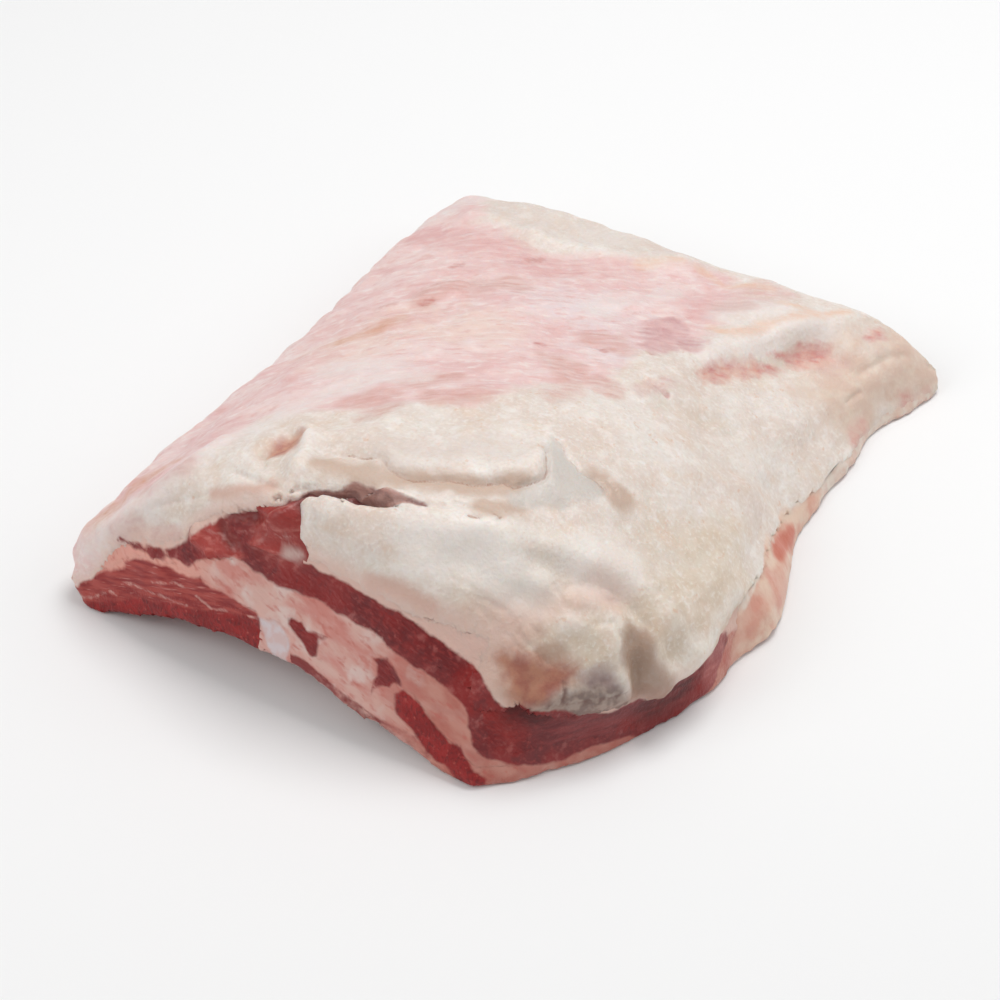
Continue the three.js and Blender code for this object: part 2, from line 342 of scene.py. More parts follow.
class Finish:
    """A tissue's material, with short ways to add the patterns that flesh needs."""

    def __init__(self, name, roughness, shine=0.5):
        self.material = bpy.data.materials.new(name)
        self.material.use_nodes = True
        self.tree = self.material.node_tree
        self.shader = self.tree.nodes["Principled BSDF"]
        self.shader.inputs["Roughness"].default_value = roughness
        self.shader.inputs["Specular IOR Level"].default_value = shine
        self.place = self.tree.nodes.new("ShaderNodeTexCoord").outputs["Object"]

    def feed(self, socket, value):
        """Links another node's output to a socket, or sets the socket to a plain value."""
        if isinstance(value, bpy.types.NodeSocket):
            self.tree.links.new(value, socket)
        else:
            socket.default_value = value

    def add(self, kind, inputs, **settings):
        node = self.tree.nodes.new(kind)
        for key, value in settings.items():
            setattr(node, key, value)
        for key, value in inputs.items():
            self.feed(node.inputs[key], value)
        return node

    def spots(self, size, detail=2.0, stretch=(1, 1, 1), turn=(0, 0, 0), seed=0.0):
        """Cloudy noise of about the given size, drawn out along an axis of a turned frame by stretch."""
        turned = self.add("ShaderNodeMapping", {"Vector": self.place, "Rotation": turn}, vector_type="TEXTURE")
        scale = tuple(1 / (size * s) for s in stretch)
        scaled = self.add("ShaderNodeMapping", {"Vector": turned.outputs[0], "Scale": scale, "Location": (seed,) * 3})
        noise = self.add("ShaderNodeTexNoise", {"Vector": scaled.outputs[0], "Scale": 1.0, "Detail": detail})
        return noise.outputs["Fac"]

    def marked(self, name):
        return self.add("ShaderNodeAttribute", {}, attribute_name=name).outputs["Fac"]

    def band(self, value, low, high, to=(0.0, 1.0)):
        """Where a value rises from low to high, smoothly from the first of to to the second."""
        inputs = {"Value": value, "From Min": low, "From Max": high, "To Min": to[0], "To Max": to[1]}
        return self.add("ShaderNodeMapRange", inputs, interpolation_type="SMOOTHSTEP").outputs[0]

    def maths(self, operation, one, other):
        node = self.tree.nodes.new("ShaderNodeMath")
        node.operation = operation
        for socket, value in zip(node.inputs, (one, other)):
            self.feed(socket, value)
        return node.outputs[0]

    def plus(self, one, other):
        return self.maths("ADD", one, other)

    def times(self, one, other):
        return self.maths("MULTIPLY", one, other)

    def edged(self, name, soft=0.65, stray=1.1, noise=None):
        """Where a marked depth is above 0, with an edge that is soft over some millimetres and strays by some."""
        noise = noise or self.spots(4.5 * MM, 3.0, seed=41.0)
        strayed = self.plus(self.marked(name), self.times(noise, 2 * stray))
        return self.band(strayed, stray - soft, stray + soft)

    def blend(self, share, under, over):
        """The colour under, and as far as the share goes the colour over."""
        node = self.tree.nodes.new("ShaderNodeMix")
        node.data_type = "RGBA"
        under, over = (colour(*tone) if isinstance(tone, tuple) else tone for tone in (under, over))
        for socket, value in zip((node.inputs[0], node.inputs[6], node.inputs[7]), (share, under, over)):
            self.feed(socket, value)
        return node.outputs[2]

    def between(self, pattern, low, high, one, other):
        """One colour where a pattern is below low, turning into the other above high."""
        return self.blend(self.band(pattern, low, high), one, other)

    def layered(self, tone, *layers):
        """A tone under other colours, each laid on where its pattern runs from low to high, up to a share."""
        for pattern, low, high, share, over in layers:
            tone = self.blend(self.band(pattern, low, high, to=(0.0, share)), tone, over)
        return tone

    def stained(self, tone, *stains):
        """A tone under patches of other colours, each laid on by a share of where it belongs."""
        for where, share, over in stains:
            tone = self.blend(self.times(where, share), tone, over)
        return tone

    def streaked(self, tone, streaks, low, high, least, *stains):
        """A tone under marked patches, which thin out to the least part of their share along a pattern's streaks."""
        for name, share, over in stains:
            shown = self.band(streaks, low, high, to=(share, least * share))
            tone = self.blend(self.times(self.marked(name), shown), tone, over)
        return tone

    def soften(self, weight, depth, red=None):
        """Lets light into fat by some weight and depth, and not where the share of red flesh is high."""
        self.shader.inputs["Subsurface Radius"].default_value = depth
        self.shader.inputs["Subsurface Scale"].default_value = 1.0
        if red is None:
            self.shader.inputs["Subsurface Weight"].default_value = weight
        else:
            self.tree.links.new(self.band(red, 0.0, 1.0, to=(weight, 0.0)), self.shader.inputs["Subsurface Weight"])

    def paint(self, tone, height, rise, roughness=None):
        """Gives the shader its colour, its fine relief of the given rise, and where it is wet or dull."""
        self.tree.links.new(tone, self.shader.inputs["Base Color"])
        bump = self.add("ShaderNodeBump", {"Height": height, "Strength": 1.0, "Distance": rise})
        self.tree.links.new(bump.outputs[0], self.shader.inputs["Normal"])
        if roughness is not None:
            self.tree.links.new(roughness, self.shader.inputs["Roughness"])
        return self.material


def hand_in(piece, node, material):
    piece.data.materials.append(material)
    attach(piece, "root")
    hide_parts(node)


def bone_tone(finish):
    """The colour of spongy red bone, with pale red spots of painted sheen, and the noise of its pores."""
    pores = finish.spots(1.2 * MM, 4.0, stretch=(1, 1, 1.4))
    clouds = finish.spots(7 * MM, 2.0, seed=4.0)
    # pale red spots over the bone are painted sheen
    light = finish.spots(2.0 * MM, 2.0, seed=9.0)
    tone = finish.between(clouds, 0.35, 0.65, (132, 18, 18), (156, 30, 28))
    return finish.layered(tone, (pores, 0.46, 0.68, 0.6, (90, 14, 18)), (light, 0.6, 0.76, 1.0, (174, 66, 58))), pores


def meat_tone(finish):
    """The colour of the streaky lean over the ribs, and the noise of its fibres."""
    grain = finish.spots(1.5 * MM, 4.0, stretch=(1, 7, 1), turn=(math.radians(-16), 0, 0))
    fine = finish.spots(0.9 * MM, 2.0, stretch=(1, 9, 1), turn=(math.radians(-18), 0, 0), seed=3.0)
    near = finish.plus(finish.marked("thread"), finish.times(finish.spots(3 * MM, 4.0, seed=14.0), 2.4))
    tone = finish.between(grain, 0.36, 0.66, (139, 36, 35), (170, 68, 60))
    tone = finish.layered(tone, (fine, 0.6, 0.75, 1.0, (186, 112, 104)), (near, 2.0, 1.0, 0.75, (214, 166, 156)))
    return tone, grain


MEAT_OUTLINE = MEAT_TOP + tuple(reversed(BONE_TOP))
rib = even_skin("rib_bone", RIB_SKIN, "sawn_rib")
grow_in(rib, SMALL_LIFT)
mark(rib, "meat", drawn(places_of(rib), False, MEAT_OUTLINE))
mark(rib, "thread", traced(places_of(rib), *THREADS))

rib_finish = Finish("sawn_rib_bone", 0.42, RAW_SHINE)
rib_tone, rib_pores = bone_tone(rib_finish)
rib_tone = rib_finish.blend(rib_finish.edged("meat"), rib_tone, meat_tone(rib_finish)[0])
hand_in(rib, "sawn_rib", rib_finish.paint(rib_tone, rib_pores, 0.45 * MM))

# The rib's cartilage
# At its breast end the rib turns into smooth, bluish white cartilage, cut through by the same saw stroke. Its top
# melts into the inner fat.
GRISTLE_LIFT = 0.87
GRISTLE = ((-133, 14, 29), (-133, 12, 29), (-132, 8, 31), (-133, 4, 29), (-133, 1, 26), (-134, 1, 21), (-134, 3, 15),
           (-135, 8, 15), (-135, 8, 18), (-134, 10, 21), (-134, 12, 25))


def fat_marks(piece):
    """Where the inner fat turns paler towards the loin, and redder and darker towards the breast, where the darkening
    is painted shade.
    """
    breadth = places_of(piece)[:, 1] / MM
    mark(piece, "loin", ease(breadth, 26, 46))
    mark(piece, "corner", ease(-breadth, 22, 60))


def pink_tone(finish):
    """The colour of the soft inner fat where it is cut, and the noise of its red flecks."""
    along_cut = (math.radians(23), 0, 0)
    blotches = finish.spots(7 * MM, 4.0, stretch=(1, 2.4, 1), turn=along_cut)
    flecks = finish.spots(2.0 * MM, 4.0, stretch=(1, 2.4, 1), turn=along_cut, seed=6.0)
    pale = finish.spots(9 * MM, 3.0, seed=13.0)
    tone = finish.between(blotches, 0.36, 0.64, (217, 175, 164), (206, 136, 125))
    tone = finish.layered(tone, (pale, 0.5, 0.68, 1.0, (220, 192, 184)))
    # towards the breast the inner fat is redder, and darker as painted shade
    redder_and_shaded_tone = finish.between(blotches, 0.36, 0.66, (197, 133, 117), (178, 96, 82))
    tone = finish.stained(
        tone, (finish.marked("corner"), 0.85, redder_and_shaded_tone), (finish.marked("loin"), 1.0, (224, 160, 145))
    )
    return finish.layered(tone, (flecks, 0.5, 0.78, 0.75, (192, 98, 86))), flecks


def gristle_tone(finish):
    return finish.between(finish.spots(4 * MM, 2.0), 0.4, 0.65, (214, 199, 201), (212, 183, 180))


gristle = even_skin("rib_gristle", RIB_SKIN, "rib_cartilage")
grow_in(gristle, GRISTLE_LIFT, 6)
mark(gristle, "gristle", drawn(places_of(gristle), True, GRISTLE))
fat_marks(gristle)
gristle_finish = Finish("cartilage", 0.3)
gristle_finish.soften(0.2, (0.002, 0.0016, 0.0016))
gristle_share = gristle_finish.edged("gristle")
gristle_paint = gristle_finish.blend(gristle_share, pink_tone(gristle_finish)[0], gristle_tone(gristle_finish))
hand_in(gristle, "rib_cartilage", gristle_finish.paint(gristle_paint, gristle_finish.spots(2 * MM), 0.2 * MM))

# The breastbone
# A slanting slice of breastbone shows at the front corner, red and spongy like the rib.
STERNUM = ((-130, -40, 23), (-129, -43, 25), (-129, -46, 24), (-129, -50, 22), (-129, -53, 19), (-129, -57, 16),
           (-130, -62, 13), (-129, -66, 13), (-130, -68, 11), (-131, -72, 7), (-129, -76, 3), (-130, -77, -4),
           (-133, -71, -4), (-133, -66, 2), (-132, -62, 5), (-132, -59, 5), (-132, -54, 7), (-132, -49, 12),
           (-132, -46, 14), (-132, -42, 16), (-131, -41, 20))
sternum = even_skin("sternum_bone", RIB_SKIN, "breast_bone")
grow_in(sternum, SMALL_LIFT)
mark(sternum, "bone", inside(STERNUM, places_of(sternum)))
fat_marks(sternum)
sternum_finish = Finish("breast_bone_sponge", 0.42, RAW_SHINE)
sternum_tone, sternum_pores = bone_tone(sternum_finish)
sternum_tone = sternum_finish.blend(sternum_finish.edged("bone"), pink_tone(sternum_finish)[0], sternum_tone)
hand_in(sternum, "breast_bone", sternum_finish.paint(sternum_tone, sternum_pores, 0.45 * MM))

# The lean over the ribs
# Thin muscles lie over and between the ribs. At the saw cut they show as streaky lean with threads of fat, and
# on the underside as dark bands between the pale ribs, under a tight wet membrane.
RIB_MEAT_LIFT = 0.76
RIB_PITCH = 26 * MM
RIBS_END = 75 * MM
SAW_PLANE = cad_box[0][0]


def rib_marks(piece):
    """Where the ribs lie under the membrane of the underside."""
    places, outward = places_of(piece), outward_of(piece)
    ridge = 0.5 + 0.5 * np.cos(2 * math.pi * (places[:, 0] - SAW_PLANE - 4 * MM) / RIB_PITCH)
    below = ease(-outward[:, 2], 0.35, 0.8)
    mark(piece, "rib", ridge * below * (1 - ease(places[:, 0], RIBS_END - 15 * MM, RIBS_END)))
    mark(piece, "below", below)


RIB_BONE = BONE_TOP + BONE_END
rib_meat = even_skin("rib_meat", 1.1 * MM, "rib_lean")
grow_in(rib_meat, RIB_MEAT_LIFT)
rib_marks(rib_meat)
mark(rib_meat, "meat", drawn(places_of(rib_meat), True, MEAT_OUTLINE))
mark(rib_meat, "bone", drawn(places_of(rib_meat), False, RIB_BONE))
mark(rib_meat, "thread", traced(places_of(rib_meat), *THREADS))
fat_marks(rib_meat)

meat = Finish("rib_meat", 0.36, RAW_SHINE)
meat_paint, meat_grain = meat_tone(meat)
membrane = meat.blend(meat.marked("rib"), (150, 66, 62), (206, 170, 164))
membrane = meat.layered(membrane, (meat.spots(9 * MM, 3.0), 0.5, 0.75, 1.0, (214, 178, 166)))
meat_paint = meat.stained(
    pink_tone(meat)[0],
    (meat.edged("meat"), 1.0, meat_paint),
    (meat.edged("bone"), 1.0, bone_tone(meat)[0]),
    (meat.marked("below"), 1.0, membrane),
)
hand_in(rib_meat, "rib_lean", meat.paint(meat_paint, meat_grain, 0.4 * MM))

# The inner fat
# Soft pink fat fills the space between the muscles. It is marbled with red, shows its own saw cut, comes out as
# a thin flap along the breast side, and is covered by the membrane of the chest below.
INNER_LIFT = 0.72
FLAP_START = -38 * MM
# The edges of the breast muscle on the cut, from the loin end round the corner to the breast side, in millimetres
LEAN_TOP = ((-130, 77, 32), (-130, 72, 32), (-131, 69, 33), (-130, 63, 35), (-131, 60, 35), (-130, 55, 37),
            (-130, 51, 39), (-129, 51, 40), (-128, 48, 43), (-127, 47, 47), (-126, 44, 49), (-125, 40, 52),
            (-124, 35, 56), (-123, 29, 59), (-122, 24, 61), (-121, 21, 63), (-119, 17, 66), (-117, 14, 67),
            (-116, 12, 69))
LIP = ((-117, 8, 62), (-119, 8, 61), (-122, 10, 60), (-123, 8, 60), (-121, 4, 59), (-122, -1, 61), (-122, 0, 60),
       (-123, 2, 57), (-124, 6, 55), (-125, 7, 53), (-125, 5, 53), (-124, 2, 54), (-124, -3, 54))
LEAN_SIDE = ((-124, -5, 53), (-124, -11, 53), (-124, -18, 53), (-123, -23, 52), (-123, -27, 51), (-122, -32, 50),
             (-121, -36, 50), (-121, -39, 48), (-121, -43, 47), (-120, -47, 45), (-119, -51, 43), (-117, -57, 40),
             (-116, -62, 37), (-117, -67, 33), (-117, -71, 29), (-117, -74, 27), (-117, -76, 26), (-116, -77, 26),
             (-115, -79, 27), (-114, -79, 28), (-112, -82, 25), (-109, -86, 24), (-107, -88, 24), (-103, -91, 22),
             (-102, -93, 20), (-97, -96, 18), (-92, -98, 16), (-88, -101, 16), (-83, -102, 16), (-81, -103, 16),
             (-79, -104, 14), (-75, -105, 13), (-69, -107, 14), (-64, -108, 13), (-57, -109, 12), (-50, -109, 13),
             (-45, -108, 13), (-43, -107, 16), (-39, -107, 17), (-33, -106, 14))
LEAN_FOOT = ((-34, -107, 11), (-39, -108, 9), (-42, -109, 7), (-45, -110, 4), (-49, -111, 2), (-54, -111, 0),
             (-60, -111, -4), (-72, -109, -4), (-80, -107, -2), (-89, -103, 3), (-96, -99, 4), (-101, -97, 4),
             (-105, -94, 4), (-110, -92, 3), (-114, -88, 4), (-119, -84, 6), (-121, -82, 6), (-123, -80, 7),
             (-125, -77, 9), (-127, -74, 10), (-128, -72, 12), (-128, -70, 14), (-127, -69, 17), (-126, -67, 19),
             (-125, -66, 23), (-124, -63, 26), (-123, -59, 28), (-124, -54, 31), (-125, -49, 33), (-126, -43, 35),
             (-126, -37, 37), (-126, -33, 39), (-126, -28, 41), (-127, -23, 41), (-127, -19, 42), (-128, -14, 42),
             (-128, -8, 43), (-128, -4, 43), (-128, 2, 43), (-129, 7, 42), (-129, 13, 43), (-129, 18, 44),
             (-129, 22, 45), (-128, 25, 46), (-128, 28, 46), (-129, 34, 43), (-130, 40, 40), (-131, 42, 38),
             (-132, 45, 35), (-132, 50, 35), (-131, 56, 34), (-132, 55, 34), (-132, 56, 32), (-132, 61, 31),
             (-132, 64, 32), (-131, 69, 31), (-131, 74, 30), (-130, 78, 30))
SLIP_BY_RIBS = ((-131, 3, 33), (-131, 1, 34), (-131, -3, 34), (-131, -5, 32), (-131, -8, 33), (-130, -13, 33),
                (-131, -10, 31), (-132, -10, 28), (-133, -10, 25), (-133, -8, 23), (-133, -6, 25), (-132, -4, 27),
                (-132, -1, 29), (-132, 2, 31))
SLIP_BY_BONE = ((-129, -31, 32), (-128, -36, 34), (-128, -38, 32), (-128, -41, 29), (-129, -42, 26), (-129, -41, 26),
                (-129, -39, 27), (-130, -38, 24), (-130, -35, 24), (-132, -33, 22), (-132, -32, 19), (-132, -31, 19),
                (-131, -32, 23), (-130, -33, 27), (-129, -33, 31))
# The thin red rim of flesh along the lower edge of the saw cut
RED_RIM = ((-134, 0, 20), (-134, -5, 20), (-134, -14, 17), (-134, -24, 14), (-133, -35, 11), (-133, -41, 11),
           (-132, -47, 11))
BREAST_LEAN = LEAN_TOP + LIP + LEAN_SIDE + LEAN_FOOT
# The flap's outline, and where flesh shows through it
FLAP = ((53, -89, 4), (48, -89, 5), (38, -91, 5), (31, -92, 7), (22, -93, 10), (12, -95, 12), (6, -98, 13),
        (1, -100, 15), (-5, -103, 15), (-12, -105, 15), (-17, -106, 14), (-23, -107, 12), (-27, -106, 14),
        (-29, -107, 12), (-35, -107, 14), (-40, -109, -3), (-19, -111, -3), (5, -105, -3), (28, -95, -3),
        (48, -90, -3))
FLAP_RED = (((13, -97, 11), (22, -95, 8), (31, -93, 5)),)
FLAP_SALMON = (
    ((-2, -103, 13), (5, -105, 5), (-5, -108, 8), (-16, -107, 12), (-24, -107, 11)),
    ((-33, -108, 9), (-25, -109, 8)),
)


def patches(places, radius, *lines):
    """Ragged patches about some lines: 1 near them, fading to 0 at the radius."""
    stray = 0.35 * lumps(places, 9 * MM, 1.0) + 0.2 * lumps(places, 3 * MM, 2.0)
    return 1 - ease(beside(places, *lines) / radius + stray, 0.3, 1.15)


def flap_marks(piece):
    """Where flesh shows through the flap."""
    mark(piece, "red_flap", patches(places_of(piece), 4.5, *FLAP_RED))
    mark(piece, "salmon", patches(places_of(piece), 5, *FLAP_SALMON))


def lean_tone(finish):
    """The colour of dark lean cut across, and the noise of its fibres."""
    fibres = finish.spots(1.2 * MM, 4.0, stretch=(1, 2.2, 1), turn=(math.radians(23), 0, 0))
    clouds = finish.spots(12 * MM, 3.0, seed=2.0)
    pale = finish.spots(3.0 * MM, 4.0, seed=17.0)
    marbling = finish.spots(3.4 * MM, 6.0, stretch=(1, 1, 1.8), turn=(math.radians(23), 0, 0), seed=81.0)
    tone = finish.layered(
        finish.between(clouds, 0.36, 0.64, (112, 28, 30), (138, 28, 26)),
        (fibres, 0.45, 0.75, 1.0, (146, 50, 47)),
        (pale, 0.6, 0.8, 1.0, (159, 78, 74)),
        (marbling, 0.55, 0.75, 0.45, (186, 110, 104)),
        (marbling, 0.44, 0.3, 0.5, (92, 28, 32)),
    )
    return tone, fibres


inner_fat = even_skin("inner_fat", 1.25 * MM, "seam_fat")
grow_in(inner_fat, INNER_LIFT)
rib_marks(inner_fat)
inner_places = places_of(inner_fat)
mark(inner_fat, "lean", drawn(inner_places, False, BREAST_LEAN, SLIP_BY_RIBS, SLIP_BY_BONE))
mark(inner_fat, "meat", drawn(inner_places, False, MEAT_OUTLINE))
mark(inner_fat, "bone", drawn(inner_places, False, RIB_BONE, STERNUM))
mark(inner_fat, "gristle", drawn(inner_places, False, GRISTLE))
mark(inner_fat, "thread", traced(inner_places, *THREADS))
rim_gap, rim_along = apart(RED_RIM, inner_places, on_cut)
rim_height = np.interp(rim_along, np.linspace(0, 1, len(RED_RIM)), [z for _, _, z in RED_RIM])
rim_gap = np.where(inner_places[:, 2] / MM < rim_height, np.minimum(rim_gap, 0.4), rim_gap)
mark(inner_fat, "edge", np.where(beside(inner_places, RED_RIM) < REACH, 1.2 - 1.2 * rim_along - rim_gap, -REACH))
fat_marks(inner_fat)
flap_marks(inner_fat)
length = inner_places[:, 0]
mark(inner_fat, "flap", ease(length, FLAP_START, FLAP_START + 10 * MM))
mark(inner_fat, "outer", np.where(length > FLAP_START, -inside(FLAP, inner_places) - 2.0, -REACH))


def flap_tone(finish):
    """The colour of the thin flap: beige, salmon where flesh shines through, and one red spot."""
    tone = finish.between(finish.spots(8 * MM, 4.0, seed=19.0), 0.4, 0.65, (226, 198, 178), (216, 166, 146))
    return finish.stained(
        tone,
        (finish.marked("salmon"), 0.45, (208, 136, 120)),
        (finish.marked("red_flap"), 0.9, (198, 106, 84)),
    )


JOINT_PINK = (221, 186, 173)  # the cover's fat where it is grown to other tissues
pink = Finish("inner_fat", 0.4)
pink_paint, pink_flecks = pink_tone(pink)
rim_tone = pink.between(pink.spots(6 * MM, 5.0, seed=83.0), 0.4, 0.65, (226, 211, 198), (218, 188, 172))
pink_paint = pink.stained(
    pink_paint,
    (pink.marked("flap"), 1.0, flap_tone(pink)),
    (pink.edged("outer"), 1.0, rim_tone),
    (pink.edged("edge", 0.6, 1.0), 1.0, (132, 36, 34)),
    (pink.edged("meat"), 1.0, meat_tone(pink)[0]),
    (pink.edged("lean"), 1.0, lean_tone(pink)[0]),
    (pink.edged("gristle", 0.8), 1.0, gristle_tone(pink)),
    (pink.edged("bone"), 1.0, bone_tone(pink)[0]),
    (pink.marked("below"), 1.0, pink.blend(pink.marked("rib"), (204, 140, 130), (222, 196, 190))),
)
pink.soften(0.2, (0.003, 0.0014, 0.001), pink.edged("lean"))
hand_in(inner_fat, "seam_fat", pink.paint(pink_paint, pink_flecks, 0.3 * MM))

# The slips of lean
# Two small muscles are caught in the inner fat and end as dark red spots on the saw cut.
for node, name, outline in (
    ("lean_slip_ribs", "slip_by_ribs", SLIP_BY_RIBS),
    ("lean_slip_bone", "slip_by_bone", SLIP_BY_BONE),
):
    slip = even_skin(name, RIB_SKIN, node)
    grow_in(slip, SMALL_LIFT)
    mark(slip, "lean", drawn(places_of(slip), True, outline))
    fat_marks(slip)
    slip_finish = Finish(name + "_lean", 0.38, RAW_SHINE)
    slip_tone, slip_fibres = lean_tone(slip_finish)
    slip_tone = slip_finish.blend(slip_finish.edged("lean"), pink_tone(slip_finish)[0], slip_tone)
    hand_in(slip, node, slip_finish.paint(slip_tone, slip_fibres, 0.4 * MM))

# The band of lean
# The breast muscle lies between the inner fat and the cover. The saw and the knife cut it clean at the end and
# along the breast side, and it shows again in the cleft of the cover, where it is torn and bulges between the lips.
BAND_LIFT = 0.8
CLEFT_LINE = ((-125, 11, 60), (-116, 6, 62), (-104, -8, 66), (-99, -26, 68), (-91, -45, 68))  # millimetres
CLEFT_FLOOR = 69.0  # height that the lean reaches in the cleft
TORN_RISE = 1.8  # unevenness of the torn lean in the mouth of the cleft
# Fresh red bulges of the torn lean as outlines, the gaps between them, sunk and darkened as painted shade, and silvery
# strands of membrane
BULGES = (
    ((-127, 47, 47), (-125, 41, 51), (-125, 35, 54), (-126, 33, 50), (-127, 29, 48), (-127, 24, 48), (-128, 24, 46),
     (-129, 36, 42), (-129, 42, 42), (-128, 46, 43)),
    ((-126, 23, 52), (-124, 18, 57), (-123, 12, 58), (-124, 7, 57), (-124, 4, 55), (-125, 7, 53), (-125, 15, 53)),
)
GAPS = (
    ((-123, 32, 57), (-122, 23, 61), (-118, 15, 63), (-114, 9, 67)),
    ((-125, 33, 53), (-126, 30, 51), (-126, 26, 50)),
)
STRANDS = (
    ((-125, 29, 53), (-124, 21, 57), (-122, 13, 61), (-118, 8, 62)),
    ((-124, 21, 56), (-123, 15, 59), (-120, 8, 61)),
    ((-127, 40, 50), (-126, 34, 51), (-127, 28, 48)),
)
LIP_LUMPS = (((-119, 9, 62), (-122, 9, 61)), ((-124, 6, 55), (-124, 2, 55)))
# Where the lean deep in the cleft is darkened as painted shade
DEEP_CLEFT_SHADE = (((-112, 7, 68), (-109, 3, 70), (-107, -1, 69), (-104, -7, 70), (-103, -13, 70), (-103, -21, 71)),)
# Colours along the breast side: silvery film, painted shade in a dark hollow, fresh red and pale red
SIDE_FILM = (((-103, -93, 15), (-92, -100, 14), (-80, -104, 13), (-65, -108, 13)),)
SIDE_HOLLOW_SHADE = (((-77, -106, 9), (-70, -108, 8), (-61, -109, 10)), ((-115, -78, 24), (-111, -83, 24)))
SIDE_RED = (
    ((-88, -103, 6), (-79, -106, 6), (-70, -109, 3), (-60, -111, 3), (-50, -110, 6)),
    ((-121, -70, 25), (-119, -74, 23), (-118, -79, 17)),
)
SIDE_PALE = (((-40, -107, 17), (-44, -109, 11), (-49, -110, 7)),)
SIDE_GRAIN = -25.0  # the angle of the breast side in the plan, which its fibres follow

band = even_skin("dark_lean", 1.1 * MM, "lean_band")
band_places = flush(band, relax(band, places_of(band), 1.0, 4), BAND_LIFT)
away, _ = apart(CLEFT_LINE, band_places, in_plan)
in_cleft = np.exp(-((away / 6.5) ** 2)) * ease(band_places[:, 2] / MM, 50, 60)
band_places[:, 2] += in_cleft * np.maximum(0, CLEFT_FLOOR * MM - band_places[:, 2])
torn = 1 - ease(apart(CLEFT_LINE, band_places)[0], 6, 16)
put(band, band_places)
torn_relief = lumps(band_places, 6 * MM, 20.0) + 0.5 * lumps(band_places, 2.6 * MM, 23.0)
bulge = ease(drawn(band_places, False, *BULGES) + lumps(band_places, 4 * MM, 26.0), -1.5, 2.5)
gaps = patches(band_places, 3.2, *GAPS)
mouth = np.maximum(torn, ease(bulge + gaps, 0, 0.6))
torn_relief = mouth * TORN_RISE * torn_relief + 1.8 * bulge - 1.6 * gaps
band_places += (torn_relief * MM)[:, None] * outward_of(band)
settle(band, band_places, BAND_LIFT, cut=mouth < 0.05)
band_places = places_of(band)
mark(band, "lean", np.where(torn > 0.4, REACH, drawn(band_places, True, BREAST_LEAN)))
mark(band, "above", ease(beside(band_places, LEAN_FOOT) - beside(band_places, LEAN_TOP, LEAN_SIDE), -1, 1))
fat_marks(band)
mark(band, "torn", mouth)
mark(band, "bright", bulge)
mark(band, "gaps", gaps)
mark(band, "strand", traced(band_places, *STRANDS))
mark(band, "side", ease(band_places[:, 0] / MM, -118, -108) * ease(-band_places[:, 1] / MM, 68, 80))
for name, reach, lines in (
    ("deep", 9, DEEP_CLEFT_SHADE),
    ("lip_lumps", 3.2, LIP_LUMPS),
    ("side_film", 5, SIDE_FILM),
    ("side_hollow_shade", 7.5, SIDE_HOLLOW_SHADE),
    ("side_red", 6, SIDE_RED),
    ("side_pale", 6, SIDE_PALE),
):
    mark(band, name, patches(band_places, reach, *lines))

lean = Finish("band_lean", 0.36, RAW_SHINE)
band_tone, band_fibres = lean_tone(lean)
side_fibres = lean.spots(2.0 * MM, 4.0, stretch=(6, 1, 1), turn=(0, 0, math.radians(SIDE_GRAIN)), seed=51.0)
side_tone = lean.between(side_fibres, 0.34, 0.66, (98, 28, 32), (140, 58, 58))
band_tone = lean.stained(band_tone, (lean.marked("side"), 0.75, side_tone))
# one of these marks is painted shade in a hollow of the breast side
band_tone = lean.streaked(
    band_tone, side_fibres, 0.3, 0.62, 0.5,
    ("side_film", 0.12, (170, 116, 116)),
    ("side_red", 0.75, (150, 34, 28)),
    ("side_hollow_shade", 0.8, (74, 26, 26)),
    ("side_pale", 0.8, (190, 116, 112)),
)
shreds = lean.spots(2.6 * MM, 4.0, stretch=(1, 2.5, 1), turn=(0, 0, math.radians(30)), seed=31.0)
# the gaps between the bulges are darkened as painted shade
band_tone = lean.stained(
    band_tone,
    (lean.marked("torn"), 0.7, lean.between(shreds, 0.5, 0.75, (160, 62, 56), (200, 122, 112))),
    (lean.marked("bright"), 0.85, lean.between(shreds, 0.44, 0.72, (174, 62, 55), (205, 110, 100))),
    (lean.marked("gaps"), 0.45, (92, 36, 36)),
)
near_strand = lean.plus(lean.marked("strand"), lean.times(shreds, 3.0))
band_tone = lean.layered(band_tone, (near_strand, 2.1, 1.1, 0.55, (194, 138, 130)))
# deep in the cleft the lean is darkened as painted shade
band_tone = lean.stained(
    band_tone,
    (lean.marked("deep"), 0.9, lean.between(shreds, 0.42, 0.7, (112, 66, 64), (164, 120, 116))),
    (lean.marked("lip_lumps"), 0.85, (212, 190, 181)),
)
cut_fat = lean.blend(lean.marked("above"), pink_tone(lean)[0], JOINT_PINK)
lean_share = lean.edged("lean")
lean.soften(0.2, (0.003, 0.0014, 0.001), lean_share)
hand_in(band, "lean_band", lean.paint(lean.blend(lean_share, cut_fat, band_tone), band_fibres, 0.4 * MM))

# The fat cover
# A thick sheet of firm fat lies over the whole breast, with the thin pink fell still on it at the back. It rolls
# over the breast side, is cleft at the sawn end, and lies in low folds at the flank.
COVER_SKIN = 1.4 * MM
COVER_LIFT = 0.9
cover = even_skin("outer_fat", COVER_SKIN, "fat_cover")
under = bmesh.new()
for node in ("lean_band", "seam_fat", "rib_lean"):
    under.from_mesh(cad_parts[node].data)
tissue_below = BVHTree.FromBMesh(under)
under.free()


def clear_of_tissue(places):
    """How far each place is from the tissues under the cover, in millimetres."""
    return np.array([tissue_below.find_nearest(Vector(p))[3] for p in places]) / MM


cover_places = places_of(cover)
cover_places = relax(cover, cover_places, ease(clear_of_tissue(cover_places), 1, 6), 40)
cover_places = relax(cover, cover_places, 1.0, 5)
by_others = 1 - ease(clear_of_tissue(cover_places), 3, 9)
put(cover, flush(cover, cover_places, COVER_LIFT, by_others))

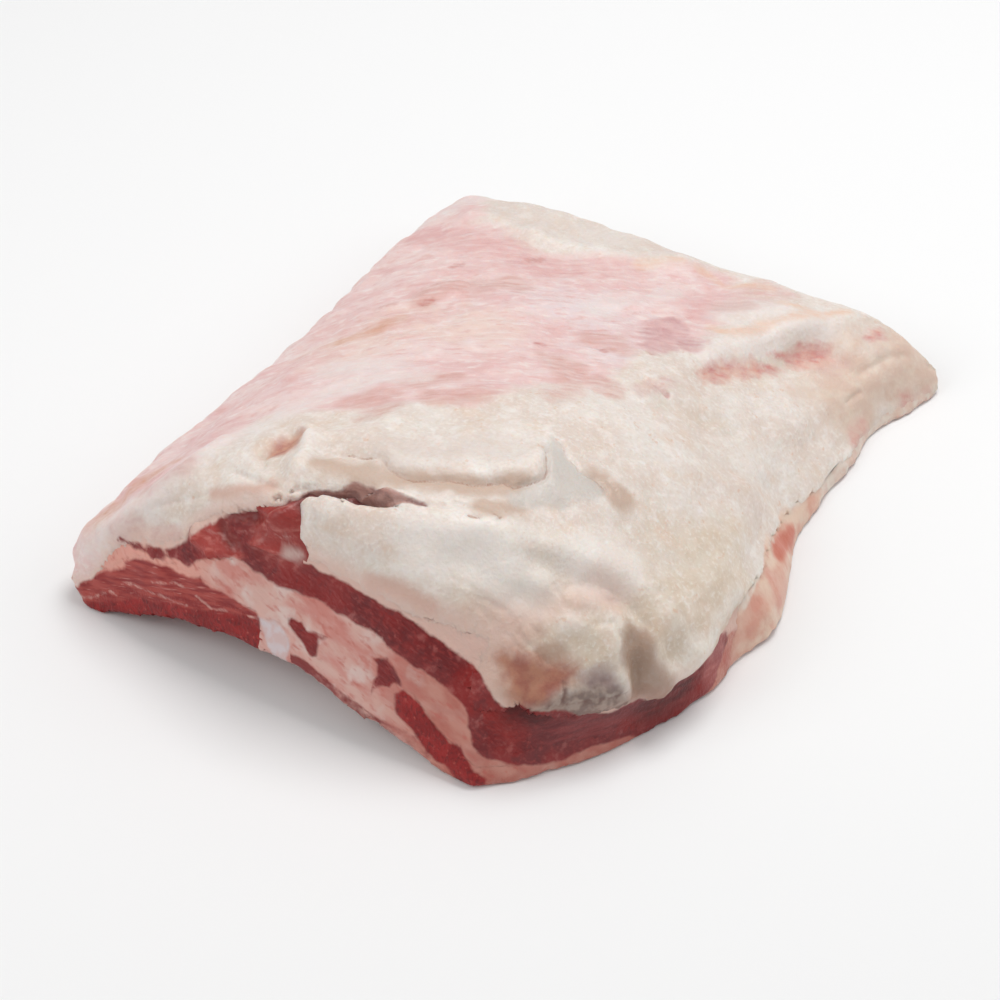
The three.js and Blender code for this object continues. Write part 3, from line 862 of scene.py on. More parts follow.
# Thin creases where lobes of the fat meet: depth, width, strength of the brown line, and points, in millimetres
CREASES = (
    (1.3, 1.1, 1.0, ((-96, 13, 73), (-94, 10, 74), (-92, 5, 75), (-92, 0, 75), (-90, -4, 75), (-90, -7, 75),
                     (-92, -10, 75), (-93, -15, 75), (-93, -21, 75), (-90, -25, 74), (-85, -29, 74), (-84, -31, 74),
                     (-81, -36, 74), (-77, -39, 73), (-73, -42, 72), (-72, -46, 71), (-69, -48, 71), (-65, -50, 71),
                     (-62, -51, 71), (-59, -50, 71), (-55, -46, 71), (-50, -42, 71), (-46, -41, 70), (-42, -40, 69))),
    (1.0, 1.0, 0.9, ((-42, -40, 69), (-42, -43, 69), (-45, -47, 69), (-47, -50, 69), (-47, -53, 68), (-48, -56, 67),
                     (-46, -60, 65), (-47, -65, 64), (-50, -66, 63))),
    (0.7, 0.9, 0.6, ((-45, -59, 66), (-43, -62, 64), (-44, -65, 63), (-46, -69, 61))),
    (0.5, 1.2, 0.35, ((-77, -47, 71), (-78, -51, 70), (-75, -55, 69), (-71, -57, 68), (-68, -61, 67), (-67, -63, 66))),
    (1.2, 1.1, 0.6, ((-102, -26, 74), (-99, -30, 74), (-96, -35, 74), (-92, -38, 74), (-89, -43, 73), (-86, -48, 72),
                     (-85, -51, 71))),
    (1.4, 1.1, 1.2, ((-94, -43, 72), (-93, -46, 72), (-92, -47, 71))),
    (1.2, 1.0, 1.1, ((-88, -48, 72), (-87, -51, 71), (-89, -51, 71))),
    (0.6, 1.3, 0.7, ((-93, -32, 74), (-91, -34, 74), (-88, -35, 74))),
    (0.4, 1.2, 0.6, ((-83, -15, 76), (-82, -18, 76), (-78, -20, 76))),
    (0.3, 1.0, 0.4, ((-41, -54, 67), (-38, -55, 66), (-35, -57, 64))),
    (0.4, 1.0, 0.6, ((-38, -37, 69), (-37, -40, 69))),
    (1.0, 1.2, 0.8, ((-109, 29, 69), (-104, 32, 68), (-102, 35, 68))),
    (1.0, 1.2, 0.5, ((-102, 20, 72), (-94, 26, 70), (-90, 27, 69), (-82, 26, 69))),
    (0.7, 1.0, 0.3, ((-108, -56, 56), (-105, -60, 55), (-103, -65, 52), (-103, -69, 48), (-104, -73, 45),
                     (-103, -77, 42), (-103, -82, 39), (-102, -84, 37))),
    (0.5, 1.0, 0.25, ((-108, -57, 54), (-107, -63, 50), (-106, -67, 47), (-106, -72, 44), (-106, -75, 41))),
    (0.5, 0.9, 0.2, ((-100, -73, 48), (-100, -77, 45))),
    (0.4, 1.0, 0.15, ((-109, -48, 61), (-107, -54, 59), (-105, -59, 56))),
    (0.4, 1.0, 0.1, ((-85, -75, 54), (-79, -79, 52), (-74, -83, 47))),
    (1.0, 1.3, 0.6, ((23, -31, 51), (23, -37, 50), (23, -41, 48), (24, -44, 47))),
    (0.5, 1.1, 0.3, ((31, -6, 49), (29, -12, 50))),
    (0.5, 1.1, 0.3, ((43, -19, 46), (42, -25, 46))),
    (0.4, 1.0, 0.3, ((14, 8, 54), (16, 3, 53))),
    (1.0, 1.3, 0.5, ((94, -75, 15), (100, -76, 15), (103, -77, 16))),
    (1.0, 1.4, 0.3, ((106, -72, 18), (115, -75, 18), (125, -78, 17), (133, -82, 15))),
    (1.1, 1.2, 0.45, ((-112, 40, 64), (-114, 31, 67), (-115, 20, 70), (-115, 11, 71))),
    (0.7, 1.1, 0.35, ((-126, 67, 43), (-123, 55, 51), (-121, 43, 59))),
    (0.8, 1.0, 0.8, ((-102, 35, 68), (-106, 32, 68), (-110, 28, 69))),
    (0.6, 1.6, 0.1, ((-88, -72, 56), (-88, -76, 52), (-90, -79, 49))),
    (0.8, 1.6, 0.1, ((-88, -86, 44), (-81, -91, 42), (-82, -95, 39), (-84, -97, 34))),
    (0.6, 1.5, 0.1, ((-70, -91, 43), (-70, -96, 40), (-70, -100, 37))),
    (0.7, 1.7, 0.1, ((-59, -94, 44), (-58, -101, 39), (-57, -105, 32), (-57, -106, 24))),
)
# Broad folds: rise, width, and the points they run through, in millimetres
FOLDS = (
    (2.2, 7, ((-88, 22, 71), (-83, 9, 74), (-87, -11, 76), (-85, -21, 75), (-76, -31, 75), (-64, -43, 73),
              (-56, -44, 72))),
    (1.6, 5, ((-106, 16, 73), (-102, 7, 74), (-98, -3, 74), (-100, -15, 75), (-99, -24, 75))),
    (2.0, 8, ((-119, 0, 68), (-106, -12, 70), (-104, -28, 74), (-101, -41, 72), (-94, -52, 69))),
    (2.0, 5, ((-131, 90, 23), (-128, 78, 35), (-124, 66, 47), (-116, 62, 55), (-105, 57, 58), (-97, 57, 57))),
    (-2.8, 4, ((-101, 33, 68), (-95, 31, 69), (-90, 31, 68))),
    (-1.4, 4, ((-104, 27, 70), (-108, 22, 71))),
    (2.0, 4, ((-86, 30, 68), (-92, 23, 70), (-100, 18, 71), (-106, 16, 72))),
    (2.0, 7, ((-90, -52, 70), (-83, -62, 65), (-75, -72, 60), (-64, -84, 50), (-62, -94, 44), (-62, -101, 40),
              (-57, -106, 24))),
    (-1.5, 5, ((-88, -66, 62), (-80, -76, 55), (-75, -84, 47), (-71, -92, 41), (-71, -100, 37), (-67, -104, 28))),
    (1.5, 5, ((-97, -61, 61), (-91, -68, 58), (-88, -74, 54), (-88, -78, 51), (-91, -80, 48))),
    (-1.2, 3.5, ((-87, -76, 53), (-88, -81, 48), (-85, -86, 45))),
    (1.6, 4.5, ((-86, -79, 50), (-80, -83, 47), (-77, -89, 42), (-76, -94, 38), (-78, -98, 36))),
    (1.8, 5, ((-93, -82, 46), (-84, -89, 43), (-84, -94, 39), (-84, -97, 33), (-85, -99, 26))),
    (-3.0, 4, ((-78, -98, 36), (-79, -99, 33), (-79, -100, 29), (-81, -101, 24), (-81, -102, 17))),
    (-1.6, 7, ((18, -46, 49), (28, -55, 40), (35, -59, 34))),
    (-1.2, 6, ((-103, -51, 65), (-98, -63, 58), (-94, -72, 53))),
    (2.4, 6, ((-72, -101, 33), (-72, -103, 25), (-73, -105, 17))),
    (2.0, 6, ((-114, -75, 30), (-111, -81, 27), (-104, -88, 26), (-97, -94, 24), (-87, -99, 22))),
    (2.4, 7, ((-74, -104, 20), (-63, -107, 19), (-50, -107, 21), (-43, -106, 25), (-25, -104, 24))),
    (1.7, 5, ((64, -35, 38), (79, -38, 34), (91, -41, 33), (103, -45, 31), (115, -50, 28), (129, -59, 24))),
    (1.1, 5, ((91, -27, 34), (104, -32, 33), (111, -38, 31))),
    (2.0, 6, ((89, 88, 32), (91, 76, 33), (91, 58, 33), (95, 43, 32), (98, 34, 33), (106, 21, 31), (114, 8, 30))),
    (-1.3, 5, ((51, -41, 38), (62, -43, 34), (76, -47, 29), (88, -50, 26), (99, -53, 25), (109, -60, 22))),
    (1.4, 6, ((14, 70, 43), (24, 63, 44), (38, 57, 42))),
    (1.6, 7, ((112, -62, 20), (120, -70, 18), (130, -76, 16))),
    (1.0, 5, ((-3, -70, 45), (14, -81, 30), (23, -88, 14))),
    (1.8, 3, ((-118, 12, 63), (-116, 8, 62), (-114, 5, 61))),
    (1.4, 2.5, ((-125, 7, 53), (-124, 4, 55), (-122, 1, 57))),
)
FOLD_GAIN = 1.1  # by how much all folds and all creases are made stronger or weaker
CREASE_GAIN = 0.75


def refine_beside(piece, lines, reach):
    """Splits the quads beside some lines finer, so that creases there come out sharp."""
    gap = beside(places_of(piece), *lines)
    fine = bmesh.new()
    fine.from_mesh(piece.data)
    near = gap < reach
    edges = [e for e in fine.edges if near[e.verts[0].index] and near[e.verts[1].index]]
    bmesh.ops.subdivide_edges(fine, edges=edges, cuts=1, use_grid_fill=True)
    fine.to_mesh(piece.data)
    fine.free()
    piece.data.polygons.foreach_set("use_smooth", np.ones(len(piece.data.polygons), dtype=bool))


def laid_on(piece, line):
    """A line's points moved onto the skin of a piece."""
    return [tuple(piece.closest_point_on_mesh(Vector(p) * MM)[1] / MM) for p in line]


crease_lines = [laid_on(cover, line) for *_, line in CREASES]
refine_beside(cover, crease_lines, 3.0)
cover_places, cover_outward = places_of(cover), outward_of(cover)
clear = clear_of_tissue(cover_places)
open_skin = ease(clear, 2, 6)


def turned(places, degrees):
    """The places in a plan frame turned by some degrees, whose first axis then runs along a grain."""
    angle = math.radians(degrees)
    x, y, z = places.T
    return np.stack([x * math.cos(angle) + y * math.sin(angle), y * math.cos(angle) - x * math.sin(angle), z], 1)


# The fell lies behind its front edge, up to the strip of fat along the back
FELL_EDGE = ((-134, 88), (-126, 73), (-117, 57), (-96, 57), (-80, 51), (-70, 34), (-57, 12), (-45, -7), (-18, -12),
             (2, -29), (20, -23), (43, -20), (64, -28), (80, -26), (98, -20), (112, -18), (120, -4), (108, 13),
             (97, 30), (86, 50), (83, 57), (82, 66), (86, 84), (105, 98), (125, 108), (125, 140), (-170, 140))


def left_of(line, places):
    """How far each place is to the left of a line of the plan, in millimetres. Places to its right count below 0."""
    gap, _ = apart(line, places, in_plan)
    side = np.full(len(places), -1e9)
    for (ax, ay), (bx, by) in zip(line[:-1], line[1:]):
        here, _ = apart(((ax, ay), (bx, by)), places, in_plan)
        cross = (bx - ax) * (places[:, 1] / MM - ay) - (by - ay) * (places[:, 0] / MM - ax)
        side = np.where(here <= gap + 1e-9, np.where(cross >= 0, gap, -gap), side)
    return side


fell_depth = inside(FELL_EDGE, cover_places, in_plan) - 30 * ease(-cover_outward[:, 2], 0.0, 0.5)
fell = ease(fell_depth, -4, 8)

# Relief in millimetres: lobes, the streaks of the fell, the folds and the creases
FELL_GRAIN = -50.0  # the angle of the fell's streaks in the plan, and that of the roll's wrinkles
ROLL_GRAIN = -12.0
streaks = turned(cover_places, FELL_GRAIN) * (0.24, 1, 1)
relief = 0.9 * lumps(cover_places, 42 * MM, 3.0) + 0.5 * lumps(cover_places, 15 * MM, 4.0)
relief += 0.3 * lumps(cover_places, 7 * MM, 6.0) + 0.12 * lumps(cover_places, 3 * MM, 8.0)
relief += fell * (0.5 * lumps(streaks, 5 * MM, 9.0) + 0.25 * lumps(streaks, 2.6 * MM, 10.0))
relief *= open_skin
for rise, width, line in FOLDS:
    gap, _ = apart(laid_on(cover, line), cover_places)
    relief += FOLD_GAIN * rise * np.exp(-((gap / width) ** 2))
mark(cover, "rise", relief)
crease = np.full(len(relief), 9.0)
for (depth, width, brown, _), line in zip(CREASES, crease_lines):
    gap, along = apart(line, cover_places)
    fade = ease(along, -0.05, 0.1) * (1 - ease(along, 0.85, 1.05))
    wavy = gap + 0.4 * lumps(cover_places, 4 * MM, 12.0)
    relief += fade * CREASE_GAIN * depth * (0.25 * np.exp(-(((gap - 4) / 2.5) ** 2)) - np.exp(-((wavy / width) ** 2)))
    crease = np.minimum(crease, gap + 2.2 * (1 - fade * min(brown, 1)) + 0.4 * (1 - brown))
mark(cover, "crease", crease)
mark(cover, "fell", fell_depth)
mark(cover, "joint", (1 - ease(clear, 1.5, 8)) * (1 - ease(cover_places[:, 0] / MM, -80, -50)))

# Patches of other colours, some of them painted light and shade: how far each reaches about its lines, and the points
# of these, in millimetres
PATCHES = {
    # painted shade, brownish, in the deep notch between the roll's lobes
    "notch_shade": (7, (
        ((-77, -98, 36), (-78, -99, 33), (-79, -100, 28), (-80, -102, 21)),
        ((-76, -101, 30), (-75, -103, 24), (-74, -105, 18)),
    )),
    # painted shade, cream-tinted, on the ledge below the main crease and beside the smooth patch
    "ledge_shade": (6, (
        ((-102, 9, 74), (-99, 0, 74), (-96, -8, 75), (-95, -17, 75), (-90, -26, 74), (-85, -33, 74), (-79, -41, 72),
         (-72, -46, 71)),
        ((-45, -61, 65), (-45, -66, 62), (-45, -70, 60)), ((-86, -45, 72), (-79, -52, 70)),
    )),
    # painted light: paler fat on the upper front of the roll
    "roll_painted_light": (13, (
        ((-108, -39, 68), (-101, -50, 67), (-98, -63, 59), (-95, -69, 55)), ((-74, -77, 55), (-66, -82, 51)),
    )),
    "tints": (5, (
        ((16, -37, 52), (29, -39, 47)), ((93, -21, 33), (102, -27, 33)), ((100, -62, 20), (107, -65, 19)),
        ((-120, 73, 45), (-118, 65, 52), (-114, 58, 57)), ((-130, 76, 31), (-129, 69, 37)),
        ((-129, 60, 38), (-128, 52, 42)),
    )),
    # pink blush of the fat beside the lean, partly darkened as painted shade
    "lean_blush_and_shade": (4.5, (
        ((-121, -26, 56), (-120, -33, 56), (-118, -39, 55), (-117, -45, 53)),
        ((-121, 41, 61), (-120, 33, 65), (-118, 26, 68), (-115, 22, 69)),
    )),
    # painted shade on the lower front of the roll, above and left of the tan patch
    "roll_shade": (4.5, (
        ((-117, -55, 43), (-115, -62, 40), (-112, -67, 40), (-106, -71, 44), (-99, -76, 46)),
        ((-102, -80, 41), (-99, -83, 41)), ((-116, -64, 38), (-116, -69, 33), (-115, -73, 30)),
    )),
    "violet": (4, (
        ((-96, -92, 32), (-91, -94, 32), (-89, -96, 28)),
    )),
    "pale": (9, (
        ((-130, 88, 25), (-123, 68, 47), (-109, 57, 58), (-93, 53, 59), (-71, 46, 61), (-54, 40, 61), (-33, 24, 63)),
        ((-40, 57, 53), (-36, 44, 57), (-31, 32, 60)), ((59, 9, 41), (74, 7, 37), (85, 0, 34)),
        ((64, -35, 38), (79, -38, 34), (91, -41, 33), (103, -45, 31), (115, -50, 28)),
        ((91, -26, 34), (104, -31, 33), (110, -39, 31)),
        ((82, 108, 28), (90, 106, 28), (99, 104, 28), (105, 101, 28)),
    )),
    "rose": (11, (
        ((70, 96, 32), (70, 72, 36), (75, 48, 36), (90, 22, 34)),
        ((89, -16, 34), (99, -19, 32), (108, -23, 31), (121, -28, 29)),
        ((-120, 80, 38), (-104, 74, 46), (-84, 66, 51)),
    )),
    "flecks": (1.8, (
        ((49, 70, 39), (54, 69, 39)), ((74, 53, 37), (80, 50, 35)), ((18, 61, 45), (22, 59, 45)),
        ((-13, 55, 50), (-7, 49, 51)), ((15, 7, 54), (16, 4, 53)), ((30, -8, 49), (30, -12, 50)),
        ((44, -20, 45), (41, -25, 47)), ((-54, 66, 50), (-52, 65, 50)),
        ((24, -34, 50), (23, -38, 49), (24, -43, 48)), ((11, 74, 42), (14, 70, 43)),
    )),
    "rusty": (8, (
        ((-41, 20, 65), (-36, 16, 65), (-31, 11, 65)), ((-47, 4, 70), (-44, -3, 70), (-35, -4, 68)),
        ((7, -6, 56), (8, -13, 56), (-9, -23, 62), (-18, -24, 64)), ((4, -26, 57), (4, -30, 57)),
        ((35, -4, 48), (38, -9, 47), (36, -16, 48)), ((44, 51, 42), (51, 47, 41), (53, 41, 41)),
        ((21, 62, 44), (32, 60, 43), (40, 51, 43)), ((-60, 29, 66), (-53, 22, 67)), ((-64, 17, 70), (-61, 14, 70)),
    )),
    "lilac": (26, (
        ((52, 22, 42), (53, 5, 42), (38, -15, 47)),
    )),
    "warm": (26, (
        ((-23, 65, 48), (-1, 56, 49), (10, 33, 52)),
    )),
    "flank_end": (22, (
        ((96, -72, 16), (112, -76, 18), (132, -82, 14)),
    )),
    "end_pink": (6, (
        ((120, -87, 3), (125, -89, 1), (129, -90, 1)), ((89, -83, 5), (93, -83, 5)),
    )),
    "peach": (3, (
        ((79, -26, 37), (80, -33, 36), (88, -37, 34), (97, -39, 33), (105, -43, 32), (117, -48, 28)),
        ((112, -35, 31), (115, -43, 30), (118, -50, 28), (128, -55, 26)),
        ((101, 20, 31), (109, 14, 30), (112, 9, 30)),
        ((114, 3, 29), (113, -5, 29), (111, -11, 29), (115, -17, 29), (121, -25, 29)),
    )),
    "orange": (6, (
        ((-128, 91, 27), (-122, 85, 34), (-113, 81, 40), (-104, 74, 46)),
        ((-18, 72, 45), (-9, 66, 46), (4, 61, 46)),
    )),
    # darker cream over the front of the roll, partly the fat's own cream and partly painted shade where the roll turns
    # down
    "cream": (31, (
        ((-104, -70, 48), (-88, -86, 45), (-63, -103, 36), (-30, -105, 30)),
    )),
    # painted shade on the back strip, at the root of the flank flap and on the middle of the cover
    "painted_soft_shade": (12, (
        ((97, 82, 33), (100, 66, 33), (105, 51, 33), (110, 35, 32), (114, 20, 30)),
        ((110, -58, 24), (117, -63, 22), (123, -71, 19)), ((-85, -8, 76), (-72, -22, 75), (-60, -30, 74)),
    )),
}
# Patches with clear edges, as outlines in the plan
OUTLINES = {
    "smooth": (
        ((-42, -40), (-42, -43), (-45, -47), (-47, -50), (-48, -56), (-46, -60), (-47, -65), (-50, -66), (-58, -64),
         (-67, -63), (-68, -61), (-71, -57), (-75, -55), (-78, -51), (-77, -47), (-69, -48), (-62, -51), (-59, -50),
         (-55, -46), (-50, -42), (-46, -41)),
    ),
    "flank_pink": (
        ((54, -38), (60, -38), (71, -43), (80, -46), (88, -53), (83, -52), (74, -50), (63, -46), (47, -44), (50, -41)),
        ((86, -46), (95, -50), (105, -53), (111, -58), (109, -62), (104, -62), (96, -58), (93, -56), (90, -51)),
        ((121, -66), (128, -66), (132, -67), (128, -70), (129, -72), (122, -69)),
    ),
    "flank_rose": (
        ((58, -9), (70, -9), (76, -16), (66, -25), (71, -31), (61, -33), (54, -28), (43, -25), (45, -18)),
    ),
    "hollow": (
        ((-104, 33), (-98, 35), (-92, 35), (-87, 30), (-95, 25), (-100, 25), (-103, 31)),
    ),
}
# The mauve film in the cleft, darkened as painted shade deep in the cleft, and the tan, grey and dark marks at the
# roll's corner; the tan mark reaches beyond its outline to paint the shade there too
MAUVE = ((-112, 7), (-107, 0), (-102, -4), (-101, -11), (-101, -18), (-101, -26), (-99, -31), (-103, -24),
         (-105, -14), (-107, -8), (-110, -2), (-113, 4), (-115, 8))
TAN = ((-110, -70, 40), (-107, -75, 40), (-105, -79, 39), (-103, -84, 37), (-98, -88, 35), (-102, -87, 32),
       (-105, -84, 31), (-109, -83, 27), (-112, -80, 26), (-114, -77, 29), (-112, -74, 34))
GREY = ((-115, -78, 24), (-112, -80, 26), (-108, -84, 27), (-103, -88, 29), (-97, -91, 30), (-93, -93, 34),
        (-89, -96, 31), (-85, -99, 24), (-83, -101, 19), (-85, -102, 13), (-92, -99, 12), (-99, -95, 13),
        (-104, -91, 16), (-109, -85, 18))
DARK_MARKS = (
    ((-107, -86, 25), (-102, -90, 25), (-95, -95, 24), (-90, -98, 23), (-86, -100, 23)),
    ((-102, -87, 32), (-103, -88, 29), (-105, -88, 25)),
    ((-116, -78, 23), (-112, -81, 24), (-110, -84, 23)),
)


def on_top(outlines):
    """How far each place of the cover's upper side lies within any of some outlines of the plan."""
    depth = np.max([inside(outline, cover_places, in_plan) for outline in outlines], axis=0)
    return np.where(cover_outward[:, 2] > 0, depth, -REACH)


grey_depth = drawn(cover_places, False, GREY)
relief += ease(grey_depth, -1, 2) * 0.8 * np.maximum(0, lumps(cover_places, 3.4 * MM, 14.0))
relief -= np.exp(-((beside(cover_places, *DARK_MARKS) / 1.2) ** 2))
mauve_depth = on_top((MAUVE,)) + 0.5
relief -= 2.4 * ease(mauve_depth, -0.5, 2.5)
relief = np.maximum(relief, -0.55 * np.maximum(0, clear - 3))
mark(cover, "mauve", mauve_depth)
mark(cover, "grey", grey_depth)
# the tan mark reaches beyond its outline, painting the shade at the roll's lower corner
mark(cover, "tan", drawn(cover_places, False, TAN) + 2.2)
mark(cover, "dark", traced(cover_places, *DARK_MARKS))
for name, (reach, lines) in PATCHES.items():
    mark(cover, name, patches(cover_places, reach, *lines))
for name, outlines in OUTLINES.items():
    mark(cover, name, on_top(outlines))
cover_places = cover_places + (relief * MM)[:, None] * cover_outward

# The lip in front of the cleft leans over it
LIP_PULL = 7.0  # how far it leans towards the cleft, rises in its middle and sags at its end, in millimetres
LIP_RISE = 7.0
LIP_SAG = 6.0
lip_gap, lip_along = apart(CLEFT_LINE, cover_places, in_plan)
front = ease(-left_of([p[:2] for p in CLEFT_LINE], cover_places), -1, 2)
by_lip = front * np.exp(-((lip_gap / 14) ** 2)) * ease(cover_places[:, 2] / MM, 45, 62)
pull = by_lip * (1 - ease(lip_along, 0.35, 0.8))
lip_rise = LIP_RISE * ease(lip_along, 0.22, 0.45) * (1 - ease(lip_along, 0.5, 0.85))
lip_rise -= LIP_SAG * (1 - ease(lip_along, 0.14, 0.36))
ragged = 2.0 * lumps(cover_places, 5 * MM, 16.0) + lumps(cover_places, 2.4 * MM, 17.0)
cover_places += (pull * ragged * MM)[:, None] * cover_outward
cover_places[:, 1] += LIP_PULL * MM * pull
cover_places[:, 2] += MM * by_lip * lip_rise
settle(cover, cover_places, COVER_LIFT, cut=(clear < 3) & (lip_gap > 18))
mark(cover, "lean", drawn(places_of(cover), False, BREAST_LEAN))
mark(cover, "meat", drawn(places_of(cover), False, MEAT_OUTLINE))
mark(cover, "thread", traced(places_of(cover), *THREADS))
mark(cover, "flap", drawn(places_of(cover), False, FLAP) + 2.0)
flap_marks(cover)

fat = Finish("outer_fat", 0.42)
clouds = fat.spots(24 * MM, 3.0)
mottle = fat.spots(6 * MM, 4.0, seed=5.0)
fine_grain = fat.spots(1.4 * MM, 3.0, seed=8.0)
highlight_spots = fat.spots(4 * MM, 5.0, seed=67.0)
blush = fat.spots(11 * MM, 6.0, seed=66.0)
dots = fat.spots(3.0 * MM, 2.0, seed=61.0)
fold_height_for_painted_light = fat.marked("rise")
fat_tone = fat.between(clouds, 0.35, 0.65, (228, 218, 210), (221, 205, 194))
fat_tone = fat.layered(fat_tone, (mottle, 0.45, 0.8, 1.0, (236, 228, 221)))
cream_and_shade_tone = fat.between(mottle, 0.35, 0.7, (223, 209, 193), (213, 194, 174))
# the relief of the folds paints shade into their hollows and highlight onto their ridges
fat_tone = fat.layered(
    fat.stained(fat_tone, (fat.marked("cream"), 1.0, cream_and_shade_tone)),
    (fold_height_for_painted_light, 0.2, -2.6, 0.4, (204, 184, 161)),
    (fold_height_for_painted_light, 1.0, 3.0, 0.5, (238, 232, 226)),
    (blush, 0.52, 0.74, 0.55, (222, 197, 177)),
    (highlight_spots, 0.56, 0.74, 0.5, (240, 234, 230)),
    # pale spots painted as soft highlights, and pale fine specks painted as glints over the darker specks of the fat's
    # grain
    (dots, 0.66, 0.76, 0.5, (216, 172, 142)),
    (fine_grain, 0.5, 0.72, 0.4, (242, 236, 229)),
    (fine_grain, 0.48, 0.28, 0.35, (212, 192, 174)),
)
# Among these, the paler upper front of the roll is painted light, and the marks below the main crease, on the roll's
# lower front, beside the lean and on the back strip carry painted shade
fat_tone = fat.stained(
    fat_tone,
    (fat.marked("roll_painted_light"), 0.7, (242, 235, 229)),
    (fat.marked("ledge_shade"), 0.9, (198, 172, 154)),
    (fat.marked("lean_blush_and_shade"), 0.75, (204, 162, 145)),
    (fat.marked("roll_shade"), 0.7, (170, 138, 118)),
    (fat.marked("joint"), 0.8, JOINT_PINK),
    (fat.edged("smooth", 2.6, 1.6), 0.8, (203, 196, 189)),
    (fat.marked("painted_soft_shade"), 0.4, (216, 202, 194)),
    (fat.marked("flank_end"), 0.85, fat.between(mottle, 0.35, 0.65, (220, 199, 182), (212, 182, 164))),
)

# The fell's own pinks lie over the fat, then patches that its streaks break up, then marks with clear edges
grain_turn = (0, 0, math.radians(FELL_GRAIN))
fell_streaks = fat.spots(2.2 * MM, 6.0, stretch=(4.5, 1, 1), turn=grain_turn)
fell_clouds = fat.spots(16 * MM, 5.0, stretch=(2.2, 1, 1), turn=grain_turn, seed=7.0)
fell_grain = fat.spots(3.2 * MM, 6.0, stretch=(1.6, 1, 1), turn=grain_turn, seed=73.0)
fell_fray = fat.spots(9 * MM, 5.0, stretch=(2.4, 1, 1), turn=grain_turn, seed=12.0)
fell_tone = fat.streaked(
    fat.between(fell_clouds, 0.34, 0.66, (233, 207, 203), (226, 186, 183)), fell_clouds, 0.3, 0.7, 0.5,
    ("lilac", 0.7, (227, 211, 212)),
    ("warm", 0.6, (231, 206, 192)),
)
fell_tone = fat.layered(
    fell_tone,
    (fell_streaks, 0.5, 0.76, 0.8, (236, 220, 216)),
    (fell_streaks, 0.42, 0.26, 0.75, (220, 172, 168)),
    (fell_grain, 0.52, 0.72, 0.6, (240, 225, 221)),
    (fell_grain, 0.46, 0.28, 0.5, (218, 172, 165)),
)
fat_tone = fat.streaked(
    fat.stained(fat_tone, (fat.edged("fell", 6.0, 10.0, fell_fray), 1.0, fell_tone)), fell_streaks, 0.25, 0.62, 0.45,
    ("rose", 0.75, (216, 166, 163)),
    ("rusty", 0.8, (208, 158, 147)),
    ("pale", 0.8, (232, 222, 218)),
    ("orange", 0.85, (212, 160, 134)),
    ("flecks", 0.85, (190, 112, 104)),
    ("peach", 0.75, (228, 186, 158)),
    ("end_pink", 0.9, (212, 158, 148)),
    ("tints", 0.7, (206, 166, 158)),
)
streaky = fat.band(fell_streaks, 0.3, 0.62, to=(1.0, 0.6))
membrane_folds = fat.spots(2.2 * MM, 4.0, stretch=(1, 4, 1), turn=(0, 0, math.radians(20)), seed=47.0)
pearls = fat.spots(4.2 * MM, 2.0, seed=27.0)
fat_tone = fat.stained(
    fat_tone,
    (fat.edged("flank_rose", 2.5, 3.5), streaky, fat.between(mottle, 0.4, 0.65, (202, 154, 154), (214, 174, 172))),
    (fat.edged("flank_pink", 2.4, 3.2), streaky, fat.between(mottle, 0.4, 0.65, (204, 136, 130), (218, 164, 148))),
    (fat.edged("hollow", 2.2, 1.6), 1.0, fat.between(mottle, 0.35, 0.65, (206, 158, 136), (178, 116, 104))),
    (fat.edged("mauve", 0.6, 0.8), 0.85, fat.between(membrane_folds, 0.38, 0.62, (134, 80, 74), (178, 128, 118))),
    (fat.edged("tan", 3.6, 2.4), 1.0, fat.between(mottle, 0.35, 0.65, (180, 126, 102), (160, 97, 82))),
    (fat.edged("grey", 2.4, 1.6), 0.85, fat.between(pearls, 0.36, 0.6, (108, 84, 76), (158, 138, 126))),
    (fat.marked("violet"), 0.5, (148, 122, 124)),
    (fat.marked("notch_shade"), 0.65, (140, 98, 74)),
)
near_dark = fat.plus(fat.marked("dark"), fat.times(pearls, 2.6))
fat_tone = fat.layered(fat_tone, (near_dark, 2.4, 1.0, 0.7, (116, 76, 66)))
near_crease = fat.plus(fat.marked("crease"), fat.spots(2.2 * MM, 3.0, seed=44.0))
crease_share = fat.band(fat.spots(9 * MM, 2.0, seed=45.0), 0.3, 0.62, to=(0.25, 0.85))
fat_tone = fat.stained(
    fat_tone,
    (fat.band(near_crease, 1.1, 0.5), crease_share, (172, 124, 102)),
    (fat.edged("flap"), 1.0, flap_tone(fat)),
    (fat.edged("meat"), 1.0, meat_tone(fat)[0]),
)
raw = fat.edged("lean")
fat_tone = fat.blend(raw, fat_tone, lean_tone(fat)[0])
fat.soften(0.3, (0.004, 0.0022, 0.0015), raw)
wetness = fat.band(fat.spots(5 * MM, 5.0, seed=33.0), 0.35, 0.68, to=(0.55, 0.38))
wrinkles = fat.spots(1.8 * MM, 3.0, stretch=(1, 5, 5), turn=(0, 0, math.radians(ROLL_GRAIN)), seed=71.0)
fat_relief = fat.plus(fat.times(fine_grain, 0.7), fat.plus(mottle, fat.times(wrinkles, 0.4)))
hand_in(cover, "fat_cover", fat.paint(fat_tone, fat_relief, 0.4 * MM, wetness))

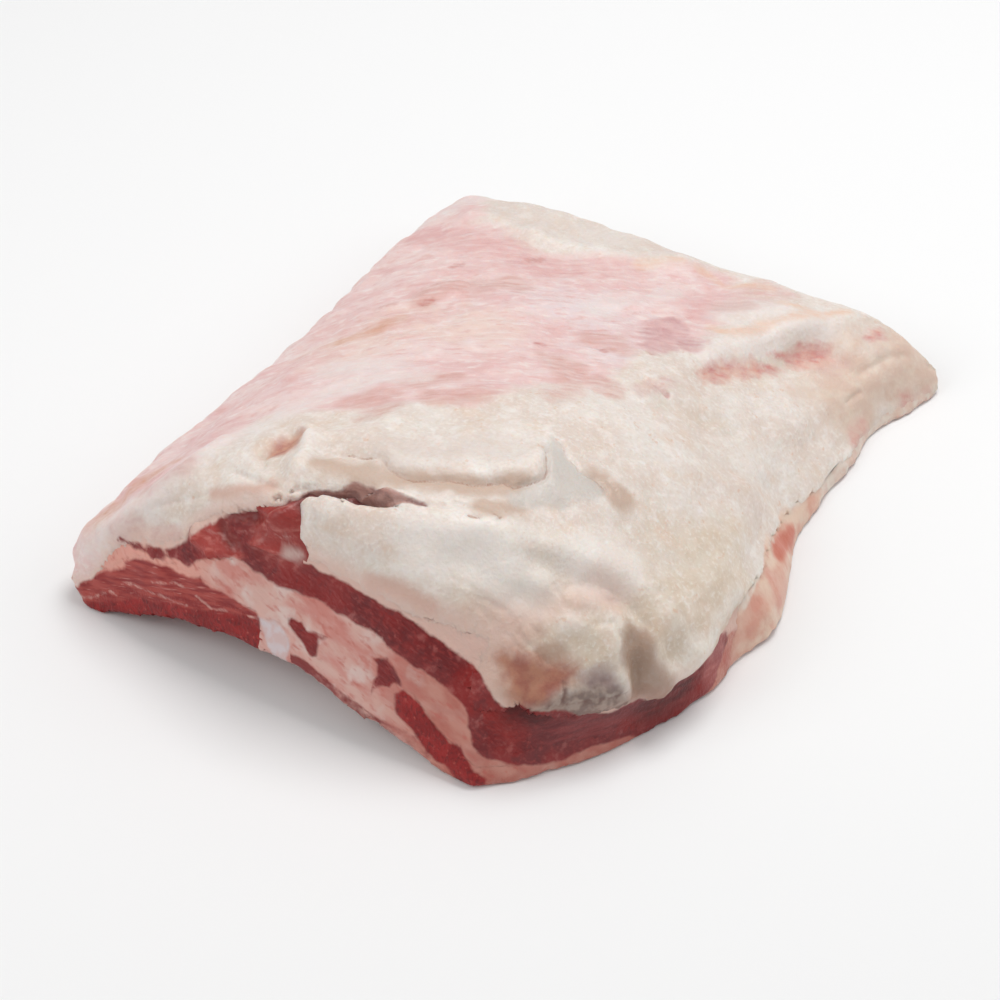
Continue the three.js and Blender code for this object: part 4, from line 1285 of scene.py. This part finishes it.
# The stage
# A plain pale floor in soft studio light, seen from above the sawn corner with a long lens.
FLOOR_REACH = 6.0
FLOOR_DROP = 0.5 * MM
floor = bpy.data.objects.new("floor", bpy.data.meshes.new("floor"))
bpy.context.collection.objects.link(floor)
sheet = bmesh.new()
bmesh.ops.create_grid(sheet, x_segments=1, y_segments=1, size=FLOOR_REACH)
bmesh.ops.translate(sheet, verts=sheet.verts, vec=(0, 0, -FLOOR_DROP))
sheet.to_mesh(floor.data)
sheet.free()
floor_finish = bpy.data.materials.new("floor")
floor_finish.use_nodes = True
floor_finish.node_tree.nodes["Principled BSDF"].inputs["Base Color"].default_value = (0.9, 0.9, 0.9, 1)
floor_finish.node_tree.nodes["Principled BSDF"].inputs["Roughness"].default_value = 0.9
floor.data.materials.append(floor_finish)

AIM = Vector((-0.0102, 0.0047, 0))
AZIMUTH, ELEVATION, DISTANCE = math.radians(-54), math.radians(40), 1.1


def towards(azimuth, elevation):
    """The direction from the object to something that stands at an azimuth and elevation."""
    flat = math.cos(elevation)
    return Vector((math.sin(azimuth) * flat, -math.cos(azimuth) * flat, math.sin(elevation)))


def face(thing, target):
    thing.rotation_euler = (target - thing.location).to_track_quat("-Z", "Y").to_euler()


camera = bpy.data.objects.new("camera", bpy.data.cameras.new("camera"))
bpy.context.collection.objects.link(camera)
camera.data.lens = 110
camera.data.sensor_width = 36
camera.location = AIM + DISTANCE * towards(AZIMUTH, ELEVATION)
face(camera, AIM)
bpy.context.scene.camera = camera

SOFTBOXES = (
    # azimuth and elevation in degrees, distance and width in metres, power in watts
    ("overhead", 90, 70, 1.3, 0.6, 7.8),
    ("left_front", -120, 40, 1.4, 0.8, 4.5),
    ("right_front", 30, 40, 1.4, 0.8, 2.5),
)
for name, azimuth, elevation, distance, width, power in SOFTBOXES:
    lamp = bpy.data.objects.new(name, bpy.data.lights.new(name, "AREA"))
    bpy.context.collection.objects.link(lamp)
    lamp.data.size = width
    lamp.data.energy = power
    lamp.location = AIM + distance * towards(math.radians(azimuth), math.radians(elevation))
    face(lamp, AIM)

world = bpy.data.worlds.new("studio")
world.use_nodes = True
world.node_tree.nodes["Background"].inputs["Color"].default_value = (1, 1, 1, 1)
world.node_tree.nodes["Background"].inputs["Strength"].default_value = 0.45
bpy.context.scene.world = world
bpy.context.scene.view_settings.view_transform = "Standard"
